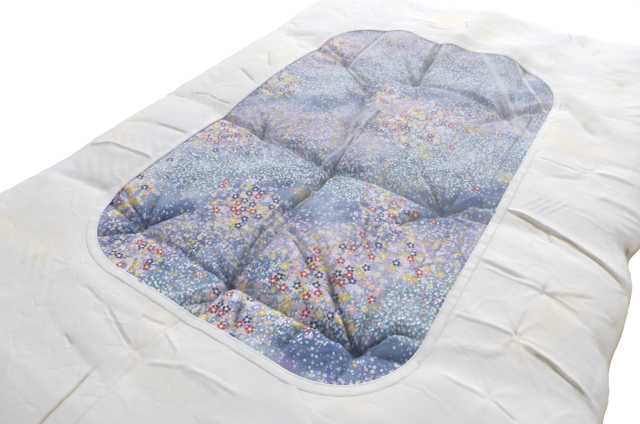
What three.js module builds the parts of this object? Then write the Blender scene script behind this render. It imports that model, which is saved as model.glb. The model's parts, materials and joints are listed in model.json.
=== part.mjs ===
// A futon mattress cover with a see-through window, closed round its tufted futon and lying flat.
// Millimetres, +Z up, +Y along the length. The origin is on the floor under the middle of the cover.
//
// Every piece hangs on one shared skin: a grid of points under the window, rings of points from the
// window's edge out to the side seam, and two rings under the edge. The futon is that skin itself, and
// the cloths are the same points pushed out along the skin's normals, so that they never cut each other.
import * as THREE from "three";

// Driving sizes
const COVER = { halfWidth: 684, halfLength: 1062, cornerRadius: 120 };
const WINDOW = { x: -26, y: -40, halfWidth: 390, halfLength: 650, cornerRadius: 190 };
const FUTON = { top: 90, crown: 6, seamHeight: 38, rollWidth: 150, underWidth: 70 };
const COTTON = 1.6; // thickness of the white cotton, top and back
const NET = 1.0; // thickness of the sheer window cloth
const TAPE = { thickness: 1.2, width: 22, lap: 2 }; // bound edge round the window
const GAP = 0.4; // air between two pieces that lie on each other
const JOINT = 0.2; // half the gap between two pieces that meet edge to edge
const COLUMNS = 18; // cells across the window
const ROWS = 26; // cells along the window
const BORDER_SHARES = [1 / 3, 2 / 3]; // rings between the tape and the start of the rolled side
const ROLL_REACHES = [150, 80, 30, 7, 0]; // rings down the rolled side, by distance from the outer edge
const UNDER_REACHES = [14, 70]; // rings under the edge, by the same distance
const NET_KEEP = 0.72; // share of the futon's hollows that the window cloth sinks into
const BORDER_KEEP = 0.45; // the same for the cotton border
const BORDER_SLACK = 3; // room that the border's soft troughs have above the futon
const SLACK_REACH = 70; // distance from the window over which that room opens

// Tufts: the thread's place from the window's middle, how deep it pulls and how far the hollow reaches.
const TUFTS = [
  { x: -258, y: 362, depth: 42, reach: 58 },
  { x: -8, y: 375, depth: 44, reach: 55 },
  { x: 286, y: 358, depth: 48, reach: 62 },
  { x: -250, y: -108, depth: 44, reach: 58 },
  { x: -6, y: -140, depth: 48, reach: 60 },
  { x: 288, y: -116, depth: 50, reach: 66 },
  { x: -264, y: -540, depth: 44, reach: 58 },
  { x: 4, y: -545, depth: 48, reach: 58 },
  { x: 296, y: -545, depth: 50, reach: 64 },
];

// Trenches between the pillows: both ends from the window's middle, depth and half width.
const TRENCHES = [
  { x1: -640, y1: 470, x2: -258, y2: 362, depth: 22, halfWidth: 44 },
  { x1: -258, y1: 362, x2: -100, y2: 236, depth: 27, halfWidth: 36 },
  { x1: -100, y1: 236, x2: -72, y2: 60, depth: 27, halfWidth: 32 },
  { x1: -72, y1: 60, x2: -6, y2: -140, depth: 33, halfWidth: 32 },
  { x1: -8, y1: 375, x2: 140, y2: 396, depth: 18, halfWidth: 36 },
  { x1: 140, y1: 396, x2: 286, y2: 358, depth: 28, halfWidth: 38 },
  { x1: 286, y1: 358, x2: 392, y2: 470, depth: 30, halfWidth: 36 },
  { x1: -8, y1: 375, x2: -52, y2: 700, depth: 32, halfWidth: 30 },
  { x1: 286, y1: 358, x2: 262, y2: 700, depth: 18, halfWidth: 40 },
  { x1: -258, y1: 362, x2: -250, y2: 700, depth: 16, halfWidth: 36 },
  { x1: -640, y1: -84, x2: -250, y2: -108, depth: 26, halfWidth: 44 },
  { x1: -250, y1: -108, x2: -6, y2: -140, depth: 28, halfWidth: 38 },
  { x1: -6, y1: -140, x2: 130, y2: -108, depth: 22, halfWidth: 38 },
  { x1: 130, y1: -108, x2: 288, y2: -116, depth: 32, halfWidth: 40 },
  { x1: 288, y1: -116, x2: 640, y2: -40, depth: 26, halfWidth: 44 },
  { x1: -6, y1: -140, x2: 4, y2: -545, depth: 28, halfWidth: 34 },
  { x1: 288, y1: -116, x2: 236, y2: -215, depth: 18, halfWidth: 34 },
  { x1: -640, y1: -470, x2: -264, y2: -540, depth: 24, halfWidth: 44 },
  { x1: -264, y1: -540, x2: 4, y2: -545, depth: 28, halfWidth: 38 },
  { x1: 4, y1: -545, x2: 296, y2: -545, depth: 30, halfWidth: 38 },
  { x1: 296, y1: -545, x2: 640, y2: -440, depth: 24, halfWidth: 44 },
  { x1: 4, y1: -545, x2: -10, y2: -800, depth: 26, halfWidth: 36 },
];

// Pillows that stand higher than the rest: middle from the window's middle, height and half sizes.
const PUFFS = [
  { x: -180, y: 650, height: 17, halfWidth: 75, halfLength: 120 },
  { x: -20, y: 690, height: 20, halfWidth: 60, halfLength: 110 },
  { x: 185, y: 690, height: 25, halfWidth: 75, halfLength: 110 },
  { x: 40, y: 930, height: 26, halfWidth: 130, halfLength: 180 },
  { x: 320, y: 930, height: 12, halfWidth: 90, halfLength: 150 },
  { x: 560, y: 960, height: 24, halfWidth: 110, halfLength: 170 },
  { x: -400, y: 180, height: 9, halfWidth: 120, halfLength: 180 },
  { x: 150, y: 180, height: 8, halfWidth: 110, halfLength: 160 },
  { x: 150, y: -360, height: 8, halfWidth: 110, halfLength: 140 },
  { x: -150, y: -330, height: 6, halfWidth: 110, halfLength: 140 },
];

// Main folds of the cotton border, soft ridges (+) and troughs (-), from the window's middle.
const BORDER_FOLDS = [
  { x1: 410, y1: -22, x2: 690, y2: -80, height: 12, halfWidth: 30 },
  { x1: 440, y1: -90, x2: 600, y2: -110, height: -3, halfWidth: 34 },
  { x1: 410, y1: 66, x2: 530, y2: 48, height: 5, halfWidth: 28 },
  { x1: 410, y1: 180, x2: 560, y2: 178, height: 7, halfWidth: 32 },
  { x1: 410, y1: -215, x2: 540, y2: -225, height: 6, halfWidth: 30 },
  { x1: 540, y1: -240, x2: 690, y2: -290, height: 5, halfWidth: 34 },
  { x1: 410, y1: -362, x2: 700, y2: -400, height: 9, halfWidth: 30 },
  { x1: 430, y1: -520, x2: 700, y2: -545, height: 6, halfWidth: 32 },
  { x1: 535, y1: 600, x2: 535, y2: -560, height: 4, halfWidth: 40 },
  { x1: 410, y1: 600, x2: 580, y2: 420, height: 12, halfWidth: 48 },
  { x1: 420, y1: 490, x2: 560, y2: 340, height: -3, halfWidth: 40 },
  { x1: 150, y1: 1060, x2: 260, y2: 830, height: 12, halfWidth: 42 },
  { x1: 250, y1: 1020, x2: 310, y2: 700, height: 9, halfWidth: 46 },
  { x1: 340, y1: 1030, x2: 510, y2: 690, height: 13, halfWidth: 50 },
  { x1: 10, y1: 720, x2: 10, y2: 1060, height: 8, halfWidth: 44 },
  { x1: -90, y1: 1040, x2: -80, y2: 800, height: 7, halfWidth: 44 },
  { x1: -240, y1: 790, x2: -60, y2: 770, height: 5, halfWidth: 36 },
  { x1: -20, y1: -680, x2: -20, y2: -980, height: 4, halfWidth: 40 },
  { x1: -30, y1: -730, x2: -240, y2: -700, height: 4, halfWidth: 34 },
  { x1: -30, y1: -795, x2: -240, y2: -770, height: 4, halfWidth: 34 },
  { x1: -10, y1: -735, x2: 160, y2: -740, height: 5, halfWidth: 34 },
  { x1: -410, y1: -30, x2: -640, y2: -70, height: 5, halfWidth: 36 },
  { x1: -410, y1: -210, x2: -640, y2: -250, height: 5, halfWidth: 36 },
  { x1: -410, y1: -370, x2: -640, y2: -385, height: 6, halfWidth: 32 },
  { x1: -410, y1: -485, x2: -640, y2: -500, height: 5, halfWidth: 36 },
  { x1: -430, y1: 500, x2: -620, y2: 470, height: 6, halfWidth: 44 },
];

// Places where the outer edge draws in, by the place along it from the cover's middle.
const EDGE_DIPS = {
  near: [
    { at: -380, depth: 14, halfWidth: 130 },
    { at: 300, depth: 12, halfWidth: 130 },
  ],
  right: [
    { at: -760, depth: 10, halfWidth: 100 },
    { at: -330, depth: 9, halfWidth: 60 },
    { at: -40, depth: 20, halfWidth: 50 },
    { at: 540, depth: 12, halfWidth: 140 },
  ],
  far: [
    { at: -260, depth: 46, halfWidth: 120 },
    { at: 300, depth: 36, halfWidth: 110 },
  ],
  left: [
    { at: -480, depth: 10, halfWidth: 130 },
    { at: 420, depth: 9, halfWidth: 150 },
  ],
};

const STATIONS = 2 * (COLUMNS + ROWS);
const QUARTER_TURN = Math.PI / 2;

const bell = (distance, halfWidth) => Math.exp(-((distance / halfWidth) ** 2));
const cusp = (distance, halfWidth) => Math.exp(-Math.hypot(distance, halfWidth / 3) / halfWidth);
const easeIn = (share) => THREE.MathUtils.smoothstep(share, 0, 1);

// ---------- plan: where the points of the skin lie ----------

// A point on one side of a rounded rectangle, by the share of the way between two corner middles.
function sidePoint(halfAlong, halfDepth, radius, share) {
  const arc = (radius * Math.PI) / 4;
  const straight = 2 * (halfAlong - radius);
  const walked = share * (straight + 2 * arc) - arc;
  const pastArc = Math.min(walked, 0) + Math.max(walked - straight, 0);
  const angle = pastArc / radius;
  const along = THREE.MathUtils.clamp(walked, 0, straight) - straight / 2;
  return {
    along: along + radius * Math.sin(angle),
    outward: halfDepth - radius + radius * Math.cos(angle),
  };
}

function edgeDip(dips, at) {
  return dips.reduce((sum, dip) => sum + dip.depth * bell(at - dip.at, dip.halfWidth), 0);
}

// The sides in the order of the outline, with the way along each one against its own axis.
const SIDES = [
  { name: "near", way: 1 },
  { name: "right", way: 1 },
  { name: "far", way: -1 },
  { name: "left", way: -1 },
];

// The outline of a rounded rectangle, counter-clockwise from the middle of the near left corner.
function outline(halfWidth, halfLength, radius, dips) {
  const points = [];
  SIDES.forEach(({ name, way }, side) => {
    const across = side % 2 === 0;
    const count = across ? COLUMNS : ROWS;
    for (let step = 0; step < count; step++) {
      const point = across
        ? sidePoint(halfWidth, halfLength, radius, step / count)
        : sidePoint(halfLength, halfWidth, radius, step / count);
      const dip = dips ? edgeDip(dips[name], point.along * way) : 0;
      points.push(new THREE.Vector2(point.along, dip - point.outward)
        .rotateAround(new THREE.Vector2(), side * QUARTER_TURN));
    }
  });
  return points;
}

// The window's grid: a patch stretched between the four sides of its outline.
function windowGrid(rim) {
  const corner = [0, COLUMNS, COLUMNS + ROWS, 2 * COLUMNS + ROWS].map((at) => rim[at]);
  const grid = [];
  for (let row = 0; row <= ROWS; row++) {
    for (let column = 0; column <= COLUMNS; column++) {
      const u = column / COLUMNS;
      const v = row / ROWS;
      const near = rim[column];
      const right = rim[COLUMNS + row];
      const far = rim[2 * COLUMNS + ROWS - column];
      const left = rim[(STATIONS - row) % STATIONS];
      grid.push(new THREE.Vector2()
        .addScaledVector(near, 1 - v).addScaledVector(far, v)
        .addScaledVector(left, 1 - u).addScaledVector(right, u)
        .addScaledVector(corner[0], -(1 - u) * (1 - v)).addScaledVector(corner[1], -u * (1 - v))
        .addScaledVector(corner[2], -u * v).addScaledVector(corner[3], -(1 - u) * v));
    }
  }
  return grid;
}

// ---------- relief: how high the futon and the cloths stand ----------

function distanceToLine(x, y, line) {
  const dx = line.x2 - line.x1;
  const dy = line.y2 - line.y1;
  const share = ((x - line.x1) * dx + (y - line.y1) * dy) / (dx * dx + dy * dy);
  const held = THREE.MathUtils.clamp(share, 0, 1);
  return Math.hypot(x - line.x1 - held * dx, y - line.y1 - held * dy);
}

// How far the tufting threads and the trenches between them pull the futon's top down.
function hollow(point) {
  const x = point.x - WINDOW.x;
  const y = point.y - WINDOW.y;
  const pulls = [
    ...TUFTS.map((tuft) => tuft.depth * cusp(Math.hypot(x - tuft.x, y - tuft.y), tuft.reach)),
    ...TRENCHES.map((trench) => trench.depth * cusp(distanceToLine(x, y, trench), trench.halfWidth)),
  ];
  return Math.cbrt(pulls.reduce((sum, pull) => sum + pull ** 3, 0));
}

function crownHeight(point) {
  const across = Math.cos((point.x / COVER.halfWidth) * QUARTER_TURN);
  const along = Math.cos((point.y / COVER.halfLength) * QUARTER_TURN);
  const puffed = PUFFS.reduce((sum, puff) => sum + puff.height
    * bell(point.x - WINDOW.x - puff.x, puff.halfWidth)
    * bell(point.y - WINDOW.y - puff.y, puff.halfLength), 0);
  return FUTON.top + FUTON.crown * Math.max(across, 0) * Math.max(along, 0) + puffed;
}

// The share of its full height that the futon has at a distance in from its outer edge.
function rollShare(reach) {
  const left = 1 - Math.min(reach / FUTON.rollWidth, 1);
  return Math.sqrt(1 - left * left);
}

function underShare(reach) {
  const left = 1 - Math.min(reach / FUTON.underWidth, 1);
  return 1 - Math.sqrt(1 - left * left);
}

function borderFolds(point) {
  const x = point.x - WINDOW.x;
  const y = point.y - WINDOW.y;
  return BORDER_FOLDS.reduce(
    (sum, fold) => sum + fold.height * bell(distanceToLine(x, y, fold), fold.halfWidth), 0);
}

// ---------- the shared skin ----------

class Skin {
  constructor() {
    this.points = [];
    this.triangles = [];
  }

  add(point) {
    return this.points.push(point) - 1;
  }

  quad(a, b, c, d) {
    this.triangles.push(a, b, c, a, c, d);
  }

  // Joins two rings, the first inside the second, facing up, or facing down when it is turned over.
  band(inner, outer, turnedOver) {
    inner.forEach((from, at) => {
      const next = (at + 1) % inner.length;
      const start = this.triangles.length;
      this.quad(from, outer[at], outer[next], inner[next]);
      if (turnedOver) this.turnOver(start);
    });
  }

  turnOver(start) {
    this.triangles.push(...this.triangles.splice(start).reverse());
  }

  // Covers the window's grid, facing up, or facing down when it is turned over.
  patch(grid, turnedOver) {
    for (let row = 0; row < ROWS; row++) {
      for (let column = 0; column < COLUMNS; column++) {
        const a = grid[row * (COLUMNS + 1) + column];
        const b = grid[row * (COLUMNS + 1) + column + 1];
        const c = grid[(row + 1) * (COLUMNS + 1) + column + 1];
        const d = grid[(row + 1) * (COLUMNS + 1) + column];
        const start = this.triangles.length;
        this.quad(a, b, c, d);
        if (turnedOver) this.turnOver(start);
      }
    }
  }

  // Closes a ring with a flat fan, facing down, or facing up when it is turned over.
  fan(ring, centre, turnedOver) {
    ring.forEach((from, at) => {
      const next = ring[(at + 1) % ring.length];
      this.triangles.push(...(turnedOver ? [centre, from, next] : [centre, next, from]));
    });
  }

  geometry() {
    const geometry = new THREE.BufferGeometry().setFromPoints(this.points);
    geometry.setIndex(this.triangles);
    geometry.computeVertexNormals();
    return geometry;
  }
}

// The grid places round the rim of the window's grid, in the order of the outline.
function rimPlaces() {
  const place = (row, column) => row * (COLUMNS + 1) + column;
  const places = [];
  for (let column = 0; column < COLUMNS; column++) places.push(place(0, column));
  for (let row = 0; row < ROWS; row++) places.push(place(row, COLUMNS));
  for (let column = COLUMNS; column > 0; column--) places.push(place(ROWS, column));
  for (let row = ROWS; row > 0; row--) places.push(place(row, 0));
  return places;
}

// The grid place one cell in from each place on the rim.
function innerPlaces(places) {
  return places.map((place) => {
    const row = Math.floor(place / (COLUMNS + 1));
    const column = place % (COLUMNS + 1);
    const innerRow = THREE.MathUtils.clamp(row, 1, ROWS - 1);
    const innerColumn = THREE.MathUtils.clamp(column, 1, COLUMNS - 1);
    return innerRow * (COLUMNS + 1) + innerColumn;
  });
}

function buildSkin() {
  const rim = outline(WINDOW.halfWidth + TAPE.lap, WINDOW.halfLength + TAPE.lap,
    WINDOW.cornerRadius + TAPE.lap, null)
    .map((point) => point.add(new THREE.Vector2(WINDOW.x, WINDOW.y)));
  const edge = outline(COVER.halfWidth - GAP - COTTON, COVER.halfLength - GAP - COTTON,
    COVER.cornerRadius, EDGE_DIPS);
  const skin = new Skin();
  const plan = [];
  const floor = COTTON + GAP;

  const place = (point, height, opening) => {
    plan.push({ x: point.x, y: point.y, opening });
    return skin.add(new THREE.Vector3(point.x, point.y, height));
  };
  const topHeight = (point) => crownHeight(point) - hollow(point);

  const grid = windowGrid(rim).map((point) => place(point, topHeight(point), 0));
  const places = rimPlaces();
  const windowRing = places.map((at) => grid[at]);
  const innerRing = innerPlaces(places).map((at) => grid[at]);

  const ringAt = (distanceOut) => rim.map((from, at) => {
    const span = from.distanceTo(edge[at]);
    const out = distanceOut(span);
    const point = from.clone().lerp(edge[at], out / span);
    const share = rollShare(span - out);
    const height = FUTON.seamHeight + (topHeight(point) - FUTON.seamHeight) * share;
    return place(point, height, easeIn(out / SLACK_REACH) * share);
  });
  const tapeReach = TAPE.width - TAPE.lap;
  const rings = [
    windowRing,
    ringAt(() => tapeReach),
    ...BORDER_SHARES.map((share) =>
      ringAt((span) => tapeReach + share * (span - FUTON.rollWidth - tapeReach))),
    ...ROLL_REACHES.map((reach) => ringAt((span) => span - reach)),
  ];
  const underRings = UNDER_REACHES.map((reach) => rim.map((from, at) => {
    const point = edge[at].clone().lerp(from, reach / from.distanceTo(edge[at]));
    return place(point, floor + (FUTON.seamHeight - floor) * underShare(reach), 0);
  }));
  const middle = place(new THREE.Vector2(), floor, 0);

  skin.patch(grid, false);
  const all = [...rings, ...underRings];
  all.slice(1).forEach((ring, at) => skin.band(all[at], ring));
  skin.fan(underRings.at(-1), middle, false);

  const geometry = skin.geometry();
  const normals = skin.points.map((_, at) =>
    new THREE.Vector3().fromBufferAttribute(geometry.getAttribute("normal"), at));
  [...underRings.at(-1), middle].forEach((at) => normals[at].set(0, 0, -1));
  rings.at(-1).forEach((at) => normals[at].setZ(0).normalize());
  return {
    skin, plan, normals, geometry, rim, edge, grid, windowRing, innerRing, rings, underRings, middle,
  };
}

const base = buildSkin();

// How far the cloths bridge the futon's hollows, straight up.
function bridge(at) {
  const { x, y, opening } = base.plan[at];
  const keep = THREE.MathUtils.lerp(NET_KEEP, BORDER_KEEP, opening);
  const filled = hollow({ x, y }) * (1 - keep);
  const folds = Math.max(BORDER_SLACK + borderFolds({ x, y }), 0) * opening;
  return filled + folds;
}

// A point of the skin pushed out along its normal and lifted by what the cloth bridges there.
function lifted(at, offset, lift) {
  return base.skin.points[at].clone()
    .addScaledVector(base.normals[at], offset)
    .add(new THREE.Vector3(0, 0, lift));
}

// The way out from the window to the cover's edge at one station.
function wayOut(station) {
  const way = base.edge[station].clone().sub(base.rim[station]).normalize();
  return new THREE.Vector3(way.x, way.y, 0);
}

// ---------- the pieces ----------

// The futon: one filled solid, crowned, tufted, rolled at its sides and flat underneath.
function futonGeometry() {
  return base.geometry;
}

// The cotton top: from under the tape over the futon's shoulder and down to the side seam.
function coverTopGeometry() {
  const sheet = new Skin();
  const layer = (offset) => base.rings.map((ring, ringAt) => ring.map((at, station) => {
    const point = lifted(at, offset, bridge(at));
    if (ringAt === 0) point.addScaledVector(wayOut(station), JOINT);
    if (ringAt === base.rings.length - 1) point.z += JOINT;
    return sheet.add(point);
  }));
  const upper = layer(GAP + COTTON);
  const lower = layer(GAP);
  upper.slice(1).forEach((ring, at) => sheet.band(upper[at], ring));
  lower.slice(1).forEach((ring, at) => sheet.band(lower[at], ring, true));
  sheet.band(upper.at(-1), lower.at(-1));
  sheet.band(lower[0], upper[0]);
  return sheet.geometry();
}

// The sheer window: it lies on the pillows and hangs over the trenches between them.
function windowNetGeometry() {
  const sheet = new Skin();
  const station = new Map(base.windowRing.map((at, order) => [at, order]));
  const layer = (offset) => base.grid.map((at) => {
    const point = lifted(at, offset, bridge(at));
    if (station.has(at)) point.addScaledVector(wayOut(station.get(at)), -JOINT);
    return sheet.add(point);
  });
  const upper = layer(GAP + NET);
  const lower = layer(GAP);
  const rim = rimPlaces();
  sheet.patch(upper, false);
  sheet.patch(lower, true);
  sheet.band(rim.map((at) => upper[at]), rim.map((at) => lower[at]));
  return sheet.geometry();
}

// The tape: sewn flat over the joint between the window and the cotton, with a narrow lap inside.
function windowTapeGeometry() {
  const strip = new Skin();
  const layer = (offset) => {
    const along = (ring) => ring.map((at) => lifted(at, offset, bridge(at)));
    const joint = along(base.windowRing);
    const lap = along(base.innerRing).map((inner, station) =>
      joint[station].clone().lerp(inner, TAPE.lap / joint[station].distanceTo(inner)));
    return [lap, joint, along(base.rings[1])].map((ring) => ring.map((point) => strip.add(point)));
  };
  const under = layer(2 * GAP + COTTON);
  const over = layer(2 * GAP + COTTON + TAPE.thickness);
  over.slice(1).forEach((ring, at) => strip.band(over[at], ring));
  under.slice(1).forEach((ring, at) => strip.band(under[at], ring, true));
  strip.band(over.at(-1), under.at(-1));
  strip.band(under[0], over[0]);
  return strip.geometry();
}

// The cotton back: flat on the floor and turned up round the futon's edge to the side seam.
function coverBackGeometry() {
  const sheet = new Skin();
  const rings = [base.rings.at(-1), ...base.underRings];
  const layer = (offset) => rings.map((ring, ringAt) => ring.map((at) => {
    const point = lifted(at, offset, 0);
    if (ringAt === 0) point.z -= JOINT;
    return sheet.add(point);
  }));
  const outside = layer(GAP + COTTON);
  const inside = layer(GAP);
  outside.slice(1).forEach((ring, at) => sheet.band(outside[at], ring));
  inside.slice(1).forEach((ring, at) => sheet.band(inside[at], ring, true));
  sheet.band(inside[0], outside[0]);
  sheet.fan(outside.at(-1), sheet.add(lifted(base.middle, GAP + COTTON, 0)), false);
  sheet.fan(inside.at(-1), sheet.add(lifted(base.middle, GAP, 0)), true);
  return sheet.geometry();
}

// ---------- materials and the group ----------

const cotton = new THREE.MeshStandardMaterial({ color: 0xe9e9ec, roughness: 0.85, metalness: 0 });
const tapeCotton = new THREE.MeshStandardMaterial({ color: 0xefeeea, roughness: 0.8, metalness: 0 });
const sheer = new THREE.MeshStandardMaterial({
  color: 0xdfe4ec, roughness: 0.6, metalness: 0, transparent: true, opacity: 0.35,
});
const printed = new THREE.MeshStandardMaterial({ color: 0x8492b4, roughness: 0.8, metalness: 0 });

const PIECES = [
  { name: "futon", make: futonGeometry, material: printed },
  { name: "cover_top", make: coverTopGeometry, material: cotton },
  { name: "window_net", make: windowNetGeometry, material: sheer },
  { name: "window_tape", make: windowTapeGeometry, material: tapeCotton },
  { name: "cover_back", make: coverBackGeometry, material: cotton },
];

const cover = new THREE.Group();
for (const { name, make, material } of PIECES) {
  const mesh = new THREE.Mesh(make(), material);
  mesh.name = name;
  cover.add(mesh);
}

export default cover;
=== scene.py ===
"""A white cotton futon cover with a bound, see-through window, closed round its tufted, printed futon.

Metres, +Z up, +Y along the cover. The relief comes from tables of tufts, trenches, folds and creases,
in millimetres from the window's middle, and from seeded noise. Numpy works it out on fine grids.
"""
import json
import math

import bpy
import numpy as np
from mathutils import Matrix, Vector

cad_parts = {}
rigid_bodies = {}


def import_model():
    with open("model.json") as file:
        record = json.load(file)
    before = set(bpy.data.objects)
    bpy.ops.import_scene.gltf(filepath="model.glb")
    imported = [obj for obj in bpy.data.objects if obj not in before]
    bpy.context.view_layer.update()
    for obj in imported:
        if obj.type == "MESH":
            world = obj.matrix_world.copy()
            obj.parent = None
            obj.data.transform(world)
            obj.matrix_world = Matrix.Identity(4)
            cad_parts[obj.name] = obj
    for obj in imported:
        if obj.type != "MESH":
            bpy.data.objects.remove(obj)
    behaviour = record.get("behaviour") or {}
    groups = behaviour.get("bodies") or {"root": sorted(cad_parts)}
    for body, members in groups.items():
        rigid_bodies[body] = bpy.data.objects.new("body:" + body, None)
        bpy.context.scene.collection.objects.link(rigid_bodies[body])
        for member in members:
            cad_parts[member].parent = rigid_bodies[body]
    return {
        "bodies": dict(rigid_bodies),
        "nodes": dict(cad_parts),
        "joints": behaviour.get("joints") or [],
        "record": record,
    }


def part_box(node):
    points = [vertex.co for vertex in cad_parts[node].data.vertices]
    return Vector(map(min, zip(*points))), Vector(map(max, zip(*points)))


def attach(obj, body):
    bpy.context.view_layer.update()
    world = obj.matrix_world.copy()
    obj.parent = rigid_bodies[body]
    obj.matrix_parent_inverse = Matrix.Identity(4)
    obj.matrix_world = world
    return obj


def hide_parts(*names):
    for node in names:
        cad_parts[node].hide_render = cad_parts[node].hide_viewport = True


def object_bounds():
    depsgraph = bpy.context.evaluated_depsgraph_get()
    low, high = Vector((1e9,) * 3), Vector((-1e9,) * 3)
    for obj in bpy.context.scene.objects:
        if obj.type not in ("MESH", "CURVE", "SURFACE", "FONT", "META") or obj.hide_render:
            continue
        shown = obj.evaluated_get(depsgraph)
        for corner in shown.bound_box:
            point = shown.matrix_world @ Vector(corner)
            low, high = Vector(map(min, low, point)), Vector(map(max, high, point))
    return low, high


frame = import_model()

MM = 0.001
CAD_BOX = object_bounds()
LOW, HIGH = (np.array(corner) for corner in CAD_BOX)
NET_LOW, NET_HIGH = (np.array(corner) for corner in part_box("window_net"))

# ---------- sizes in metres, shares and counts ----------

# The cover's outline and the futon's height
COVER_HALF = (HIGH - LOW)[:2] / 2
COVER_CORNER = 0.120
WINDOW_MIDDLE = ((NET_LOW + NET_HIGH) / 2)[:2]
WINDOW_HALF = ((NET_HIGH - NET_LOW) / 2)[:2]
WINDOW_CORNER = 0.190
FUTON_TOP = 0.090
FUTON_CROWN = 0.006
SEAM_HEIGHT = 0.038
ROLL_WIDTH = 0.150
UNDER_WIDTH = 0.070

# The cloths' thickness, the gaps between them, the net's held edge and the futon's tucked-in side
COTTON = 0.0014
NET = 0.0006
GAP = 0.0006
NET_AIR = 0.0012
RIM_REACH = 0.022
RIM_LIFT = 0.0010
TUCKED_IN = 0.007
TUCK_SHARE = 0.25

# How much of the futon's hollows each cloth keeps, and how they narrow inwards from the window's edge
NET_KEEP = 0.72
PRINT_KEEP = 0.80
BORDER_KEEP = 0.45
WIDTH_SHARE = 0.60
TUFT_SHARE = 0.79
NARROWING = 0.070

# Sharp lines, pits and pleats in the print; pleats are PLEAT_DEPTH deep at a tuft PLEATED_TUFT deep
SHARP = 5.0
VALLEY_SHARE = 0.36
VALLEY_WIDTH = 0.006
PIT_SHARE = 0.18
PIT_WIDTH = 0.010
PUCKER_SHARE = 1.3
PUCKER_FADE = 0.75
PLEAT_COUNT = 22
PLEAT_DEPTH = 0.0062
PLEAT_REACH = 0.032
PLEATED_TUFT = 0.048
# Depth of a sharp line at which the print's painted shade in it is full
FOLD_SHADE_DEPTH = 0.0105
NET_PUCKER_SHARE = 0.30
NET_PUCKER_DEPTH = 0.004

# The border's folds, wrinkles and crumpling
FOLD_SHARE = 0.46
BORDER_SLACK = 0.003
SLACK_REACH = 0.070
HATCH_TROUGH = 0.5
WRINKLE_HEIGHT = 0.0013
WRINKLE_SIZE = 0.030
WRINKLE_STRETCH = 0.22
WRINKLE_SLANT = 0.3
CRUMPLE_HEIGHT = 0.0016
CRUMPLE_SIZE = 0.085

# Beside the tape: where creases are held flat, and the ripples that its seam gathers
FLAT_RIM = 0.010
FLAT_FADE = 0.034
RIPPLE_HEIGHT = 0.0014
RIPPLE_RISE = 0.014
RIPPLE_REACH = 0.016
RIPPLE_FADE = 0.022

# Down the cover's side: upright pleats above the seam, and how relief fades out towards it
SIDE_PLEATS = 0.0042
SIDE_PLEAT_LEVEL = 0.014
SIDE_PLEAT_SPREAD = 0.013
SEAM_FADE = 0.010

# Where the cotton counts as steep, as deep in a fold and as low on the side, for the painted shade in its
# colour
STEEP_START = 0.97
STEEP_SPAN = 0.75
FOLD_START = 0.0028
FOLD_SPAN = 0.0056
LOW_START = 0.022
LOW_SPAN = 0.024
LOW_SHARE = 0.8

# Unevenness: height, size of the bumps, seed
FILLING_LUMPS = [(0.0016, 0.045, 11), (0.0007, 0.017, 12)]
COTTON_LUMPS = [(0.0022, 0.110, 31), (0.0009, 0.046, 32)]
NET_LUMPS = [(0.0008, 0.060, 42)]

# Wavering of drawn lines: how far aside, size of the waves, seed
NET_WANDER = [(0.003, 0.090, 41)]
PRINT_WANDER = [(0.006, 0.07, 3)]
COTTON_WANDER = [(0.0055, 0.080, 21), (0.0016, 0.022, 23)]

# Factors that scatter the noise's corners
HASH_COLUMN = 127.1
HASH_ROW = 311.7
HASH_SEED = 74.7
HASH_SPREAD = 43758.5453

# The tape, and its section: distance out from the window's edge, height over the cloth below
TAPE_PUCKER = 0.00045
TAPE_WANDER = 0.0006
TAPE_INSIDE = 0.002
TAPE_OUTSIDE = 0.020
TAPE_PROFILE = [
    (-TAPE_INSIDE, 0.0001), (-TAPE_INSIDE, 0.0004), (-0.0012, 0.0007), (0.0012, 0.0006),
    (0.0040, 0.0010), (0.0090, 0.0013), (0.0140, 0.0011), (0.0170, 0.0009), (0.0192, 0.0010),
    (TAPE_OUTSIDE, 0.0005), (TAPE_OUTSIDE, 0.0001), (0.0090, 0.0002),
]

# Stitches: the section as shares of the thickness aside and up, and its size along the stitch
STITCH_ROWS = (0.0014, 0.0168)
STITCH_PITCH = 0.0032
STITCH_LENGTH = 0.0024
STITCH_THICK = 0.00042
STITCH_SEAT = 0.0007
STITCH_RISE = 1.6
STITCH_SECTION = [(1, 0), (0.3, 0.9), (-0.3, 0.9), (-1, 0)]
STITCH_SWELL = [(0.0, 0.3), (0.25, 1.0), (0.75, 1.0), (1.0, 0.3)]

# How finely the pieces are divided; stations run round the near, right, far and left sides
FUTON_GRID = (216, 360)
FUTON_SHARES = np.linspace(0, 1, 9) ** 0.8
FUTON_UNDER = 0.014
NET_GRID = (150, 250)
COTTON_STATIONS = (255, 415, 165, 215)
COTTON_RINGS = 79
UNDER_STEP = 6
TAPE_STATIONS = (228, 380, 228, 380)
BACK_STATIONS = (156, 260, 156, 260)
BACK_REACHES = [0.001, 0.003, 0.007, 0.013, 0.022, 0.034, 0.050, UNDER_WIDTH]

# Camera: right of, towards the near side of and above the window's middle; angles in degrees
CAMERA_PLACE = (0.4831, 0.9878, 0.8026)
CAMERA_TURN = 31.541
CAMERA_TILT = 44.186
CAMERA_ROLL = 1.200
WINDOW_LEVEL = 0.088
LENS = 28.125
SENSOR = 36.0

# Lamps: name, place, target, size, watts, tint
MIDDLE = (0, 0, 0.05)
LAMPS = [
    ("key", (-2.6, 4.8, 3.0), MIDDLE, (2.2, 1.5), 278, (0.965, 0.98, 1.0)),
    ("overhead", (1.5, 1.2, 2.2), (0.6, 0.2, 0), (1.6, 1.6), 15, (0.98, 0.985, 1.0)),
    ("bounce", (1.6, -2.4, 0.9), MIDDLE, (2.0, 1.0), 3, (1.0, 0.90, 0.76)),
]
ROOM_TINT = (1.0, 0.980, 0.965, 1)
ROOM_STRENGTH = 0.505
FLOOR_HALF = 8.0
FLOOR_GLOW = 0.78

# ---------- relief tables, in millimetres from the window's middle ----------

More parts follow.
